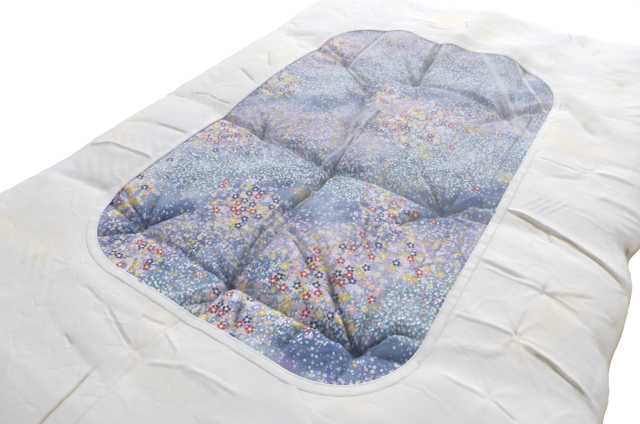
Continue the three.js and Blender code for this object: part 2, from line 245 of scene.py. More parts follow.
# x, y, depth, reach
TUFTS = [
    (-258, 362, 42, 58), (-8, 375, 44, 55), (286, 358, 48, 62),
    (-250, -108, 44, 58), (-6, -140, 48, 60), (288, -116, 50, 66),
    (-264, -540, 44, 58), (4, -545, 48, 58), (296, -545, 50, 64),
]

# x1, y1, x2, y2, depth, half width
TRENCHES = [
    (-640, 470, -258, 362, 22, 44), (-258, 362, -100, 236, 27, 36), (-100, 236, -72, 60, 27, 32),
    (-72, 60, -6, -140, 33, 32), (-8, 375, 140, 396, 13, 26), (140, 396, 286, 358, 17, 28),
    (286, 358, 392, 470, 21, 34), (-8, 375, -52, 700, 32, 30), (286, 358, 262, 700, 18, 40),
    (-258, 362, -250, 700, 16, 36), (-640, -84, -250, -108, 26, 44), (-250, -108, -6, -140, 24, 27),
    (-6, -140, 130, -108, 22, 38), (130, -108, 288, -116, 32, 40), (288, -116, 640, -40, 26, 44),
    (-6, -140, 4, -545, 28, 34), (288, -116, 236, -215, 18, 34), (-640, -470, -264, -540, 24, 44),
    (-264, -540, 4, -550, 13, 34), (4, -545, 296, -545, 28, 34), (296, -545, 640, -440, 24, 44),
    (4, -545, -10, -800, 26, 36),
]

# x, y, height, half width, half length
PUFFS = [
    (-180, 650, 17, 75, 120), (-20, 690, 20, 60, 110), (185, 690, 25, 75, 110),
    (40, 930, 26, 130, 180), (320, 930, 12, 90, 150), (560, 960, 24, 110, 170),
    (-400, 180, 9, 120, 180), (150, 180, 8, 110, 160), (150, -360, 8, 110, 140),
    (-150, -330, 6, 110, 140),
]

# x1, y1, x2, y2, height, half width
BORDER_FOLDS = [
    (405, -28, 690, -89, 5, 15), (440, -90, 600, -110, -3, 34), (410, 66, 530, 48, 5, 28),
    (410, 180, 560, 178, 7, 32), (410, -215, 540, -225, 6, 30), (540, -240, 690, -290, 5, 34),
    (410, -362, 700, -400, 6, 22), (430, -520, 700, -545, 6, 32), (535, 600, 535, -560, 4, 40),
    (410, 600, 580, 420, 12, 48), (420, 490, 560, 340, -3, 40), (150, 1060, 260, 830, 12, 42),
    (250, 1020, 310, 700, 9, 46), (340, 1030, 510, 690, 13, 50), (10, 720, 10, 1060, 8, 44),
    (-90, 1040, -80, 800, 7, 44), (-240, 790, -60, 770, 5, 36), (-20, -680, -20, -980, 4, 40),
    (-30, -730, -240, -700, 4, 34), (-30, -795, -240, -770, 4, 34), (-10, -735, 160, -740, 5, 34),
    (-410, -30, -640, -70, 5, 36), (-410, -210, -640, -250, 5, 36), (-410, -370, -640, -385, 6, 32),
    (-410, -485, -640, -500, 5, 36), (-430, 500, -620, 470, 6, 44),
]

# at, depth, half width; "at" runs along the side from the cover's middle
EDGE_DIPS = {
    "near": [(-380, 14, 130), (300, 12, 130)],
    "right": [(-760, 10, 100), (-330, 9, 60), (-40, 20, 50), (540, 12, 140)],
    "far": [(-260, 46, 120), (300, 36, 110)],
    "left": [(-480, 10, 130), (420, 9, 150)],
}

# Sharp lines in the futon's printed shell, mostly from a tuft outwards: x1, y1, x2, y2, depth, half width
PUCKERS = [
    (350, 460, 360, -340, 4, 4), (-30, 150, -10, -130, 7, 5),
    (-10, -150, -30, -400, 8, 5), (-30, -400, 0, -540, 9, 5),
    (-270, -550, -330, -620, 8, 12), (10, -550, 0, -600, 9, 12), (0, -600, -50, -660, 8, 12),
    (60, -400, 190, -490, 8, 10), (30, -370, 110, -420, 7, 9),
    (-262, -530, -300, -430, 9, 9), (-265, -528, -375, -475, 8, 8), (-262, -540, -340, -515, 7, 7),
    (-258, -528, -200, -440, 9, 12), (-250, -550, -130, -552, 6, 9),
    (4, -540, -60, -520, 9, 10), (4, -545, -130, -552, 8, 8), (0, -540, -10, -440, 8, 10),
    (8, -548, 60, -530, 7, 9), (5, -555, 30, -640, 8, 12),
    (292, -540, 220, -485, 13, 12), (220, -485, 90, -370, 9, 18), (300, -540, 345, -478, 12, 10),
    (345, -478, 390, -462, 9, 12), (294, -538, 275, -450, 8, 7), (296, -535, 287, -400, 7, 7),
    (290, -552, 305, -545, 6, 5), (290, -545, 150, -530, 9, 14), (296, -555, 290, -630, 7, 12),
    (180, -560, 185, -650, 8, 14), (65, -590, 92, -655, 8, 12),
    (165, -260, 190, -335, 6, 7), (188, -262, 206, -335, 6, 7),
    (286, -116, 205, -122, 10, 11), (286, -112, 195, -90, 9, 9), (284, -106, 205, -40, 10, 9),
    (286, -104, 235, 0, 7, 9), (290, -104, 300, -30, 6, 8), (294, -108, 350, -60, 10, 10),
    (350, -60, 395, -40, 8, 12), (286, -124, 240, -180, 10, 10), (240, -180, 205, -230, 8, 12),
    (294, -122, 370, -140, 6, 9),
    (-6, -140, -28, -20, 13, 8), (-28, -20, -50, 60, 9, 8), (-50, 60, -75, 130, 8, 10),
    (-10, -140, -100, -118, 8, 9), (0, -150, 30, -165, 8, 8), (0, -135, 70, -95, 7, 10),
    (-10, -150, -60, -175, 7, 8), (-6, -150, -14, -240, 12, 8), (-14, -240, -20, -420, 9, 9),
    (-250, -108, -262, -60, 9, 8), (-250, -112, -330, -104, 7, 9), (-330, -104, -395, -100, 6, 10),
    (-248, -116, -170, -134, 7, 9), (-170, -134, -90, -150, 7, 9), (-252, -100, -300, -40, 6, 9),
    (-10, 372, -60, 430, 10, 11), (-60, 430, -110, 500, 7, 12), (-6, 382, -20, 470, 11, 9),
    (-22, 480, -38, 600, 20, 9), (-38, 600, -50, 690, 12, 9), (-4, 372, 60, 384, 7, 9),
    (-12, 368, -60, 350, 6, 10), (282, 356, 235, 372, 12, 10), (235, 372, 150, 398, 9, 12),
    (284, 362, 230, 420, 9, 9), (288, 364, 270, 460, 8, 9), (292, 360, 340, 420, 9, 9),
    (340, 420, 392, 470, 10, 12), (282, 350, 240, 250, 7, 10), (292, 350, 330, 280, 5, 10),
    (-258, 362, -300, 400, 9, 10), (-300, 400, -375, 440, 7, 12), (-254, 366, -248, 460, 7, 9),
    (-252, 356, -190, 310, 9, 9), (-190, 310, -140, 280, 7, 10), (-262, 356, -300, 330, 6, 10),
]

# Creases in the cotton: x1, y1, x2, y2, rise, half width, trough beside it on the right hand side
CREASES = [
    # right border
    (380, -36, 550, -56, 4.6, 5, 0.9), (550, -56, 700, -103, 4.4, 5, 0.9),
    (450, -74, 600, -104, -3.0, 12, 0),
    (385, -226, 520, -222, 3.2, 7, 1.0), (540, -238, 625, -194, 2.6, 7, 0.8),
    (540, -242, 655, -272, -3.2, 8, 0), (536, -380, 630, -396, 3.8, 5, 0.6),
    (630, -396, 700, -418, 3.8, 5, 0.6), (560, 172, 520, 142, -2.6, 9, 0),
    (520, 142, 450, 118, -2.4, 9, 0), (392, 540, 550, 356, -9.0, 24, 0),
    (432, 560, 575, 392, 7.0, 22, 0), (395, 486, 425, 470, -3.0, 10, 0),
    (530, 480, 625, 502, -3.0, 9, 0), (560, 250, 690, 300, -3.0, 12, 0),
    (570, 110, 690, 140, 3.0, 12, 0.5), (545, 205, 660, 230, 3.0, 10, 0.5),
    # far border
    (-45, 1060, -40, 930, -4.0, 11, 0), (-40, 930, -24, 840, -4.0, 11, 0),
    (-24, 840, 5, 775, -3.0, 11, 0), (5, 775, 38, 746, -2.0, 11, 0),
    (115, 1050, 220, 866, -4.0, 12, 0), (145, 1050, 250, 866, 3.6, 13, 0),
    (220, 866, 250, 730, -2.4, 13, 0), (305, 1015, 412, 862, -4.6, 17, 0),
    (412, 862, 490, 775, -4.6, 17, 0), (480, 755, 560, 690, -3.4, 18, 0),
    (345, 1015, 452, 862, 4.2, 15, 0), (452, 862, 530, 775, 3.8, 15, 0),
    (470, 985, 560, 820, -4.2, 18, 0), (560, 820, 610, 700, -3.4, 18, 0),
    (505, 985, 595, 820, 3.6, 16, 0), (-330, 900, -200, 870, -2.4, 12, 0),
    (-420, 800, -330, 720, -2.6, 12, 0), (-500, 700, -400, 640, -2.6, 10, 0),
    # near border
    (-18, -704, -160, -736, -2.0, 8, 0), (-160, -736, -245, -720, -1.6, 8, 0),
    (-36, -776, -160, -741, -2.0, 8, 0), (52, -741, 155, -746, 2.0, 8, 0.6),
    (-312, -696, -268, -772, -3.0, 8, 0), (-240, -800, 0, -842, -1.8, 7, 0),
    (120, -800, 330, -760, 2.0, 14, 0.3),
    # left border
    (-385, -228, -520, -246, -4.0, 7, 0), (-520, -246, -605, -271, -3.6, 7, 0),
    (-540, -370, -385, -360, 3.0, 8, 0.9), (-600, -392, -540, -370, 3.0, 8, 0.9),
    (-385, -504, -585, -521, -6.0, 12, 0), (-605, 527, -565, 510, -4.0, 8, 0),
    (-565, 510, -538, 478, -4.0, 8, 0), (-512, 440, -438, 471, -3.0, 8, 0),
    (-535, 425, -525, 415, -5.0, 11, 0), (-522, 440, -418, 338, -4.0, 14, 0),
    (-512, 270, -428, 168, -4.0, 13, 0), (-512, 122, -418, 80, -3.2, 10, 0),
]

# Narrow creases pressed into each side of the border: x1, y1, x2, y2, rise, half width; the sunken ones
# also get a painted tan shadow
PRESSED_LINES = {
    "near": [
        (-30, -770, -150, -730, -1.5, 7), (-150, -730, -220, -720, -1.0, 7),
        (-80, -710, -20, -700, -1.2, 7), (-20, -700, 40, -730, 1.4, 8),
        (0, -770, 70, -740, 1.5, 9), (70, -740, 180, -730, 1.5, 9),
        (-60, -810, -60, -1000, -2.0, 6), (-10, -790, -10, -840, -1.0, 6),
        (-10, -840, 0, -1000, -1.2, 6), (-20, -750, -10, -660, -1.0, 6),
        (-160, -810, -130, -820, -1.2, 6),
    ],
    "right": [
        (385, -33, 585, -66, 1.8, 7), (535, -54, 700, -108, 2.0, 7),
        (415, -47, 600, -77, -2.2, 10), (530, -63, 700, -115, -2.4, 10),
        (505, -60, 530, -95, -1.6, 9), (410, 190, 550, 180, -1.5, 8),
        (540, -240, 420, -240, 1.4, 9), (550, -240, 620, -250, 1.2, 7),
        (530, -370, 410, -380, 1.5, 8), (530, -370, 530, -300, -1.2, 7),
        (540, -375, 680, -405, 1.7, 8), (551, -389, 680, -411, -2.3, 7),
        (530, -510, 440, -510, 1.3, 8), (530, -510, 580, -530, -1.6, 7),
    ],
    "far": [
        (-225, 768, -98, 780, -1.5, 8), (-145, 752, -55, 744, -1.5, 8),
        (-236, 1040, -236, 660, -0.5, 6), (180, 1040, 180, 660, -0.5, 6),
        (-24, 840, 5, 775, -1.5, 8), (310, 1010, 345, 900, -1.5, 8),
    ],
    "left": [
        (-540, -62, -490, -50, -1.5, 8), (-495, -50, -450, -57, -1.5, 8),
        (-455, -57, -385, -44, -1.5, 8), (-605, -90, -550, -88, -1.5, 8),
        (-545, -371, -385, -360, 1.5, 8), (-605, -393, -535, -369, 1.5, 8),
        (-530, 1000, -530, -1000, -0.5, 6), (-385, -228, -520, -246, -1.5, 8),
        (-512, 122, -418, 80, -1.5, 8), (-512, 270, -428, 168, -1.5, 8),
    ],
}

# Groups of like creases side by side: x1, y1, x2, y2, rise, half width, count, step x, step y
HATCHES = [
    (398, -478, 438, -440, 2.2, 4.0, 7, 15, 5), (676, -335, 680, -400, 2.4, 4.0, 4, 8, -2),
    (432, -20, 470, 40, 1.6, 4.5, 4, 18, 2), (-580, -330, -520, -372, 1.6, 5.0, 6, 30, 8),
    (-575, -440, -505, -500, 1.6, 5.0, 6, 30, 6), (640, 40, 690, 52, 2.0, 5.0, 4, 2, 26),
    (595, 48, 648, -26, 2.6, 6.0, 3, 16, 10),
    (-590, 120, -545, 92, 1.4, 6.0, 5, 4, -52), (640, -560, 690, -600, 2.0, 5.0, 5, 0, -38),
    (560, 560, 640, 640, 1.8, 8.0, 4, 16, -38), (-420, -700, -360, -760, 1.6, 6.0, 4, 34, -4),
    (360, -720, 420, -800, 1.8, 6.0, 4, 34, 14),
]

# Small star-shaped pinches in the cotton: x, y, depth, reach, rays, turn in degrees
PINCHES = [
    (540, -240, 6, 13, 5, 20), (530, -370, 7, 13, 6, 5), (530, -510, 5, 12, 5, 40),
    (545, 200, 5, 12, 5, 15), (-30, -765, 4, 8, 6, 10), (-140, -815, 1.5, 9, 5, 50),
    (690, -115, 5, 10, 5, 0),
    (685, -220, 6, 10, 4, 10),
]

# Soft hollows where the cover's side is drawn in: x, y, depth, reach
POCKETS = [(680, 20, 6, 28), (675, -290, 6, 26), (680, -405, 5, 24)]

# Creases in the window's cloth: x1, y1, x2, y2, rise, half width, how much whiter
NET_CREASES = [
    (-240, 640, -240, 350, 1.4, 4.0, 1.0), (-240, 350, -140, 280, 1.6, 4.5, 1.0),
    (80, 690, 300, 390, 1.4, 10.0, 0.7), (300, 390, 370, 280, 1.2, 8.0, 0.5),
    (190, 690, 260, 600, 1.6, 5.5, 1.0), (260, 600, 330, 500, 1.6, 5.5, 1.0),
    (330, 500, 390, 430, 1.4, 5.0, 0.9),
    (360, 450, 360, -600, -1.0, 3.0, 0.0), (140, 690, 240, 560, 1.2, 5.0, 0.5),
    (-22, 450, -32, 170, -1.0, 3.5, 0.3), (-32, 175, -36, -60, 1.0, 3.5, 0.8),
    (-36, -55, -34, -180, 0.8, 3.5, 0.7), (-34, -180, -20, -650, -1.0, 3.5, 0.1),
    (288, 101, 388, 69, 1.0, 3.0, 0.7),
    (-50, 690, -40, 600, 1.2, 4.0, 0.7), (-350, 150, -345, 60, 0.8, 3.0, 0.4),
    (-150, 620, -100, 520, 0.8, 5.0, 0.4), (250, 560, 300, 420, 0.8, 5.0, 0.4),
]


# ---------- small functions of distance ----------

def bell(distance, width):
    return np.exp(-(distance / width) ** 2)


def cusp(distance, width, sharpness=3.0):
    return np.exp(-np.hypot(distance, width / sharpness) / width)


def smooth(share):
    held = np.clip(share, 0, 1)
    return held * held * (3 - 2 * held)


def end_taper(along, part):
    """1 along a line, falling to 0 over a part of its length at both ends."""
    return smooth(np.minimum(along, 1 - along) / part)


def line_place(x, y, x1, y1, x2, y2):
    """Distance from a line, the side of it (+ on the left hand) and the share of the way along."""
    dx, dy = x2 - x1, y2 - y1
    length = math.hypot(dx, dy)
    share = ((x - x1) * dx + (y - y1) * dy) / length ** 2
    held = np.clip(share, 0, 1)
    distance = np.hypot(x - x1 - held * dx, y - y1 - held * dy)
    side = ((y - y1) * dx - (x - x1) * dy) / length
    return distance, side, held


def noise(x, y, size, seed):
    """Smooth noise from -1 to 1 whose bumps are about the given size."""
    column, row = np.floor(x / size), np.floor(y / size)
    across, along = smooth(x / size - column), smooth(y / size - row)

    def corner(i, j):
        turned = (column + i) * HASH_COLUMN + (row + j) * HASH_ROW + seed * HASH_SEED
        wave = np.sin(turned) * HASH_SPREAD
        return 2 * (wave - np.floor(wave)) - 1

    near = corner(0, 0) * (1 - across) + corner(1, 0) * across
    far = corner(0, 1) * (1 - across) + corner(1, 1) * across
    return near * (1 - along) + far * along


def uneven(x, y, layers):
    """Layers of noise on one another."""
    return sum(height * noise(x, y, size, seed) for height, size, seed in layers)


def drawn_aside(x, y, layers):
    """A place moved by noise both ways, so that straight lines come out wavering."""
    drawn_x, drawn_y = x, y
    for amount, size, seed in layers:
        drawn_x = drawn_x + amount * noise(x, y, size, seed)
        drawn_y = drawn_y + amount * noise(x, y, size, seed + 1)
    return drawn_x, drawn_y


def crumple(x, y, size, seed):
    """Noise with soft valleys and sharp ridges, from 0 to about 1."""
    first = 1 - np.abs(noise(x, y, size, seed))
    second = 1 - np.abs(noise(x + 3.1, y - 1.7, size * 0.47, seed + 5))
    return first ** 3 * 0.7 + second ** 3 * 0.3


# ---------- relief: how high the futon and the cloths stand ----------

def from_window(x, y):
    return x - WINDOW_MIDDLE[0], y - WINDOW_MIDDLE[1]


def inside_window(x, y):
    """How far inside the window's edge a place lies; below 0 outside it."""
    x, y = from_window(x, y)
    past_x = np.abs(x) - WINDOW_HALF[0] + WINDOW_CORNER
    past_y = np.abs(y) - WINDOW_HALF[1] + WINDOW_CORNER
    round_corner = np.hypot(np.maximum(past_x, 0), np.maximum(past_y, 0))
    return WINDOW_CORNER - round_corner - np.minimum(np.maximum(past_x, past_y), 0)


def hollow(x, y, width_share=1.0, tuft_share=1.0):
    """How far the tufting threads and the trenches between them pull the futon's top down."""
    x, y = from_window(x, y)
    total = np.zeros_like(x)
    for at_x, at_y, depth, reach in np.array(TUFTS) * MM:
        radius = np.hypot(x - at_x, y - at_y)
        total += (tuft_share * depth * cusp(radius, reach * width_share)) ** 3
    for x1, y1, x2, y2, depth, width in np.array(TRENCHES) * MM:
        distance = line_place(x, y, x1, y1, x2, y2)[0]
        total += (depth * cusp(distance, width * width_share)) ** 3
    return np.cbrt(total)


def sharp_hollow(x, y):
    """The hollows as seen in the window: narrower there, and as wide as the cover's at its edge."""
    share = smooth(inside_window(x, y) / NARROWING)
    return hollow(x, y) * (1 - share) + hollow(x, y, WIDTH_SHARE, TUFT_SHARE) * share


def crown(x, y):
    """The futon's top before its hollows: a low dome with its puffs."""
    across = np.cos(x / COVER_HALF[0] * math.pi / 2)
    along = np.cos(y / COVER_HALF[1] * math.pi / 2)
    height = FUTON_TOP + FUTON_CROWN * np.maximum(across, 0) * np.maximum(along, 0)
    x, y = from_window(x, y)
    for at_x, at_y, puff, half_width, half_length in np.array(PUFFS) * MM:
        height = height + puff * bell(x - at_x, half_width) * bell(y - at_y, half_length)
    return height


def pleat(distance, width):
    """A sharp line with a soft ridge on either side of it."""
    return cusp(distance, width * 0.5, SHARP) * 1.25 - 0.36 * bell(distance - 1.7 * width, 0.8 * width)


def drawn_lines(x, y):
    """How far the table of sharp lines sinks into the print; the deepest line at a place counts."""
    drawn_x, drawn_y = drawn_aside(x, y, PRINT_WANDER)
    deepest, raised = np.zeros_like(x), np.zeros_like(x)
    for x1, y1, x2, y2, depth, width in np.array(PUCKERS) * MM:
        distance, _, along = line_place(drawn_x, drawn_y, x1, y1, x2, y2)
        line = PUCKER_SHARE * depth * pleat(distance, width) * (1 - PUCKER_FADE * along ** 2)
        deepest = np.maximum(deepest, line)
        raised = np.minimum(raised, line)
    for x1, y1, x2, y2, depth, _ in np.array(TRENCHES) * MM:
        distance = line_place(drawn_x, drawn_y, x1, y1, x2, y2)[0]
        deepest = np.maximum(deepest, VALLEY_SHARE * depth * cusp(distance, VALLEY_WIDTH, SHARP))
    return deepest + raised


def tuft_pleats(x, y):
    """The fan of pleats that the thread gathers round each tuft."""
    sunk = np.zeros_like(x)
    for order, (at_x, at_y, depth, _) in enumerate(np.array(TUFTS) * MM):
        off_x, off_y = x - at_x, y - at_y
        radius = np.hypot(off_x, off_y)
        angle = np.arctan2(off_y, off_x)
        bend = noise(off_x, off_y, 0.06, 60 + order)
        share = 0.65 + 0.35 * noise(np.cos(angle), np.sin(angle), 0.45, 70 + order)
        fold = 1 - np.abs(np.sin(PLEAT_COUNT / 2 * angle + 1.6 * bend + order))
        spread = radius / PLEAT_REACH * np.exp(1 - radius / PLEAT_REACH)
        sunk += PLEAT_DEPTH * depth / PLEATED_TUFT * share * fold * spread
        sunk += PIT_SHARE * depth * cusp(radius, PIT_WIDTH, SHARP)
    return sunk


def futon_puckers(x, y):
    """How far sharp lines, pits and pleats sink into the print."""
    x, y = from_window(x, y)
    return drawn_lines(x, y) + tuft_pleats(x, y)


def print_height(x, y):
    """The top of the futon's printed shell under the window."""
    smooth_top = crown(x, y) - PRINT_KEEP * sharp_hollow(x, y)
    return smooth_top + uneven(x, y, FILLING_LUMPS) - futon_puckers(x, y)


def border_folds(x, y):
    """The broad folds of the cotton border."""
    x, y = from_window(x, y)
    total = np.zeros_like(x)
    for x1, y1, x2, y2, height, width in np.array(BORDER_FOLDS) * MM:
        total += height * bell(line_place(x, y, x1, y1, x2, y2)[0], width)
    return total


def crease_profile(x, y, x1, y1, x2, y2, rise, width, trough):
    """A crest that falls softly on its left and, the more so the deeper its trough, sharply right."""
    distance, side, along = line_place(x, y, x1, y1, x2, y2)
    left = smooth(side / width + 0.5)
    fall = width * (left * (1 + 0.9 * trough) + (1 - left) * (1 - 0.55 * trough))
    crest = np.exp(-np.hypot(distance, fall / 3) / fall) * 1.3
    beside = trough * bell(np.hypot(side + 1.1 * width, distance - np.abs(side)), 0.8 * width)
    return rise * (0.35 + 0.65 * end_taper(along, 0.22)) * (crest - 0.6 * beside)


def crease_lines():
    """Every crease of the cotton in metres, the hatches' one by one, each with its trough."""
    for *line, trough in CREASES:
        yield np.array(line) * MM, trough
    for *line, count, step_x, step_y in HATCHES:
        for order in range(count):
            shift = np.array((step_x, step_y, step_x, step_y, 0, 0)) * order
            yield (np.array(line) + shift) * MM, HATCH_TROUGH


def pinch(off_x, off_y, depth, reach, rays, turn):
    """A small pit with a star of ridges that runs out from it."""
    radius = np.hypot(off_x, off_y)
    angle = np.arctan2(off_y, off_x) - math.radians(turn)
    star = np.maximum(np.cos(rays * angle), 0) ** 2 * np.exp(-radius / (2.6 * reach * MM))
    return depth * MM * (0.7 * star - 1.2 * cusp(radius, reach * MM))


def fine_wrinkles(x, y):
    """Faint sharp wrinkles that run outwards across the border."""
    beside = smooth((np.abs(x) - WINDOW_HALF[0] + 0.03) / 0.10)
    patch = 0.5 + 0.5 * noise(x, y, 0.13, 39)
    across = crumple(x * WRINKLE_STRETCH + WRINKLE_SLANT * y, y, WRINKLE_SIZE, 37)
    along = crumple(x, y * WRINKLE_STRETCH + WRINKLE_SLANT * x, WRINKLE_SIZE, 38)
    return WRINKLE_HEIGHT * patch * (across * beside + along * (1 - beside))


def cotton_creases(x, y):
    """The creases, pinches, pockets and unevenness of the cotton border."""
    x, y = from_window(x, y)
    drawn_x, drawn_y = drawn_aside(x, y, COTTON_WANDER)
    total = np.zeros_like(x)
    for line, trough in crease_lines():
        total += crease_profile(drawn_x, drawn_y, *line, trough)
    for at_x, at_y, *shape in PINCHES:
        total += pinch(drawn_x - at_x * MM, drawn_y - at_y * MM, *shape)
    for at_x, at_y, depth, reach in np.array(POCKETS) * MM:
        total -= depth * bell(np.hypot(drawn_x - at_x, drawn_y - at_y), reach)
    total += uneven(x, y, COTTON_LUMPS)
    total += CRUMPLE_HEIGHT * (crumple(x, y, CRUMPLE_SIZE, 33) - 0.3)
    return total + fine_wrinkles(x, y)


# ---------- plan: where the points of the grids lie ----------

def side_points(half_along, half_depth, radius, count):
    """Points on one side of a rounded rectangle, between two corner middles: along it and out."""
    arc = radius * math.pi / 4
    straight = 2 * (half_along - radius)
    walked = np.arange(count) / count * (straight + 2 * arc) - arc
    angle = (np.minimum(walked, 0) + np.maximum(walked - straight, 0)) / radius
    along = np.clip(walked, 0, straight) - straight / 2 + radius * np.sin(angle)
    outward = half_depth - radius + radius * np.cos(angle)
    return along, outward


def outline(half, radius, counts, dips=None):
    """A rounded rectangle, counter-clockwise from the middle of the near left corner."""
    points = []
    sides = (("near", 1), ("right", 1), ("far", -1), ("left", -1))
    for turn, (name, way) in enumerate(sides):
        half_along, half_depth = half if turn % 2 == 0 else half[::-1]
        along, outward = side_points(half_along, half_depth, radius, counts[turn])
        for at, depth, width in np.array(dips[name] if dips else []).reshape(-1, 3) * MM:
            outward = outward - depth * bell(along * way - at, width)
        turned = math.radians(90 * turn)
        points.append(np.stack([
            along * math.cos(turned) + outward * math.sin(turned),
            along * math.sin(turned) - outward * math.cos(turned)], axis=1))
    return np.concatenate(points)


def window_outline(counts):
    """The window's edge, at this many points along the near, right, far and left sides."""
    return outline(WINDOW_HALF, WINDOW_CORNER, counts) + WINDOW_MIDDLE


def window_grid(columns, rows):
    """A patch of points stretched between the four sides of the window's outline."""
    rim = window_outline((columns, rows, columns, rows))
    u = np.linspace(0, 1, columns + 1)[None, :, None]
    v = np.linspace(0, 1, rows + 1)[:, None, None]
    near = rim[:columns + 1]
    right = rim[columns:columns + rows + 1]
    far = rim[columns + rows:2 * columns + rows + 1][::-1]
    left = np.concatenate([rim[2 * columns + rows:], rim[:1]])[::-1]
    grid = near[None] * (1 - v) + far[None] * v + left[:, None] * (1 - u) + right[:, None] * u
    grid -= near[0] * (1 - u) * (1 - v) + near[-1] * u * (1 - v)
    grid -= far[-1] * u * v + far[0] * (1 - u) * v
    return grid


def grid_normals(points, closed):
    """Unit normals of a grid of points; a closed grid runs round along its second axis."""
    if closed:
        along = np.roll(points, -1, axis=1) - np.roll(points, 1, axis=1)
    else:
        along = np.gradient(points, axis=1)
    across = np.gradient(points, axis=0)
    normals = np.cross(across, along) if closed else np.cross(along, across)
    return normals / np.linalg.norm(normals, axis=2, keepdims=True)


def walked_round(rim):
    """The way walked along a closed outline, at each of its points."""
    steps = np.linalg.norm(np.diff(rim, axis=0), axis=1)
    return np.concatenate([[0], np.cumsum(steps)])


class Border:
    """The cover round the window: rings from the window's edge out to the side seam and under."""

    def __init__(self, counts, top_shares, under_reaches):
        self.rim = window_outline(counts)
        self.edge = outline(COVER_HALF - COTTON - GAP, COVER_CORNER, counts, EDGE_DIPS)
        self.span = np.linalg.norm(self.edge - self.rim, axis=1)
        self.walked = walked_round(self.rim)
        rings = [self.top_ring(share) for share in top_shares]
        rings += [self.under_ring(reach) for reach in under_reaches]
        self.skin = np.stack([ring[0] for ring in rings])
        self.opening = np.stack([ring[1] for ring in rings])
        self.normals = grid_normals(self.skin, closed=True)

    def top_ring(self, share):
        plan = self.rim + (self.edge - self.rim) * share
        x, y = plan.T
        reach = self.span * (1 - share)
        left = 1 - np.minimum(reach / ROLL_WIDTH, 1)
        roll = np.sqrt(1 - left * left)
        height = SEAM_HEIGHT + (crown(x, y) - hollow(x, y) - SEAM_HEIGHT) * roll
        opening = smooth(self.span * share / SLACK_REACH) * roll
        return np.stack([x, y, height], axis=1), opening

    def under_ring(self, reach):
        plan = self.edge + (self.rim - self.edge) * (reach / self.span)[:, None]
        floor = COTTON + GAP
        left = 1 - min(reach / UNDER_WIDTH, 1)
        height = floor + (SEAM_HEIGHT - floor) * (1 - math.sqrt(1 - left * left))
        ring = np.stack([*plan.T, np.full(len(plan), height)], axis=1)
        return ring, np.zeros(len(plan))


def bridge(x, y, opening):
    """How far the cloths bridge the futon's hollows and stand off it, straight up."""
    keep = NET_KEEP + (BORDER_KEEP - NET_KEEP) * opening
    folds = np.maximum(BORDER_SLACK + FOLD_SHARE * border_folds(x, y), 0) * opening
    return hollow(x, y) * (1 - keep) + folds


# ---------- mesh building ----------

def ring_numbers(first, rings, stations):
    """Vertex numbers of some rings, counted on from the first."""
    return first + np.arange(rings * stations).reshape(-1, stations)


def quads_between(first, second):
    """Quads between two rings of vertex numbers, the first inside the second, facing up."""
    return np.stack([first, second, np.roll(second, -1), np.roll(first, -1)], axis=1)


def cloth_quads(outer, inner, joins):
    """Quads over the outer rings and under the inner ones, and between each join's two rings."""
    faces = [quads_between(a, b) for a, b in zip(outer, outer[1:])]
    faces += [quads_between(a, b)[:, ::-1] for a, b in zip(inner, inner[1:])]
    return faces + [quads_between(a, b) for a, b in joins]


def fan(middle, ring):
    """Triangles from a vertex in the middle to a ring round it, facing down."""
    return np.stack([np.full(len(ring), middle), np.roll(ring, -1), ring], axis=1)


def grid_quads(numbers):
    return np.stack([
        numbers[:-1, :-1], numbers[:-1, 1:], numbers[1:, 1:], numbers[1:, :-1]],
        axis=-1).reshape(-1, 4)


def grid_rim(numbers):
    """The vertex numbers round a grid, counter-clockwise."""
    return np.concatenate([
        numbers[0, :-1], numbers[:-1, -1], numbers[-1, :0:-1], numbers[:0:-1, 0]])


def make_piece(name, parts, faces, material):
    points = np.concatenate([np.reshape(part, (-1, 3)) for part in parts])
    mesh = bpy.data.meshes.new(name)
    mesh.from_pydata(points.tolist(), [], [list(map(int, face)) for group in faces for face in group])
    mesh.polygons.foreach_set("use_smooth", [True] * len(mesh.polygons))
    mesh.materials.append(material)
    mesh.update()
    piece = bpy.data.objects.new(name, mesh)
    bpy.context.scene.collection.objects.link(piece)
    return piece


def add_field(piece, name, values):
    """Keeps one number for each vertex, for the material to read; vertices left over get 0."""
    kept = np.zeros(len(piece.data.vertices), dtype=np.float32)
    kept[:values.size] = values.ravel()
    piece.data.attributes.new(name, "FLOAT", "POINT").data.foreach_set("value", kept)


# ---------- the pieces ----------

def futon_rings(shares):
    """The futon's sides: as printed at the window's edge, then tucked in under the cotton."""
    columns, rows = FUTON_GRID
    border = Border((columns, rows, columns, rows), shares, [FUTON_UNDER, UNDER_WIDTH])
    rings = border.skin.copy()
    hidden = smooth(shares / TUCK_SHARE)[:, None]
    covered = rings[:len(shares)]
    x, y = covered[..., 0], covered[..., 1]
    covered[..., 2] += (print_height(x, y) - crown(x, y) + hollow(x, y)) * (1 - hidden)
    covered -= border.normals[:len(shares)] * (TUCKED_IN * hidden)[..., None]
    return rings


def futon_piece(material):
    columns, rows = FUTON_GRID
    x, y = np.moveaxis(window_grid(columns, rows), -1, 0)
    lift = RIM_LIFT * (1 - smooth(inside_window(x, y) / RIM_REACH))
    top = np.stack([x, y, print_height(x, y) + lift], axis=-1)
    sides = futon_rings(FUTON_SHARES)[1:]
    numbers = ring_numbers(0, rows + 1, columns + 1)
    side_numbers = ring_numbers(numbers.size, *sides.shape[:2])
    rings = [grid_rim(numbers), *side_numbers]
    faces = [grid_quads(numbers), *(quads_between(a, b) for a, b in zip(rings, rings[1:])),
             fan(numbers.size + side_numbers.size, rings[-1])]
    parts = [top, sides, (0, 0, COTTON + GAP)]
    piece = make_piece("futon_print", parts, faces, material)
    # How deep the sharp lines, pits and pleats sink, kept for the painted shade that darkens the print in
    # them
    add_field(piece, "fold", np.clip(futon_puckers(x, y) / FOLD_SHADE_DEPTH, 0, 1) ** 2)
    return piece


def kept_flat(reach):
    """How much the cotton's creases show, at a distance out from the window's edge."""
    return smooth((reach - FLAT_RIM) / FLAT_FADE)


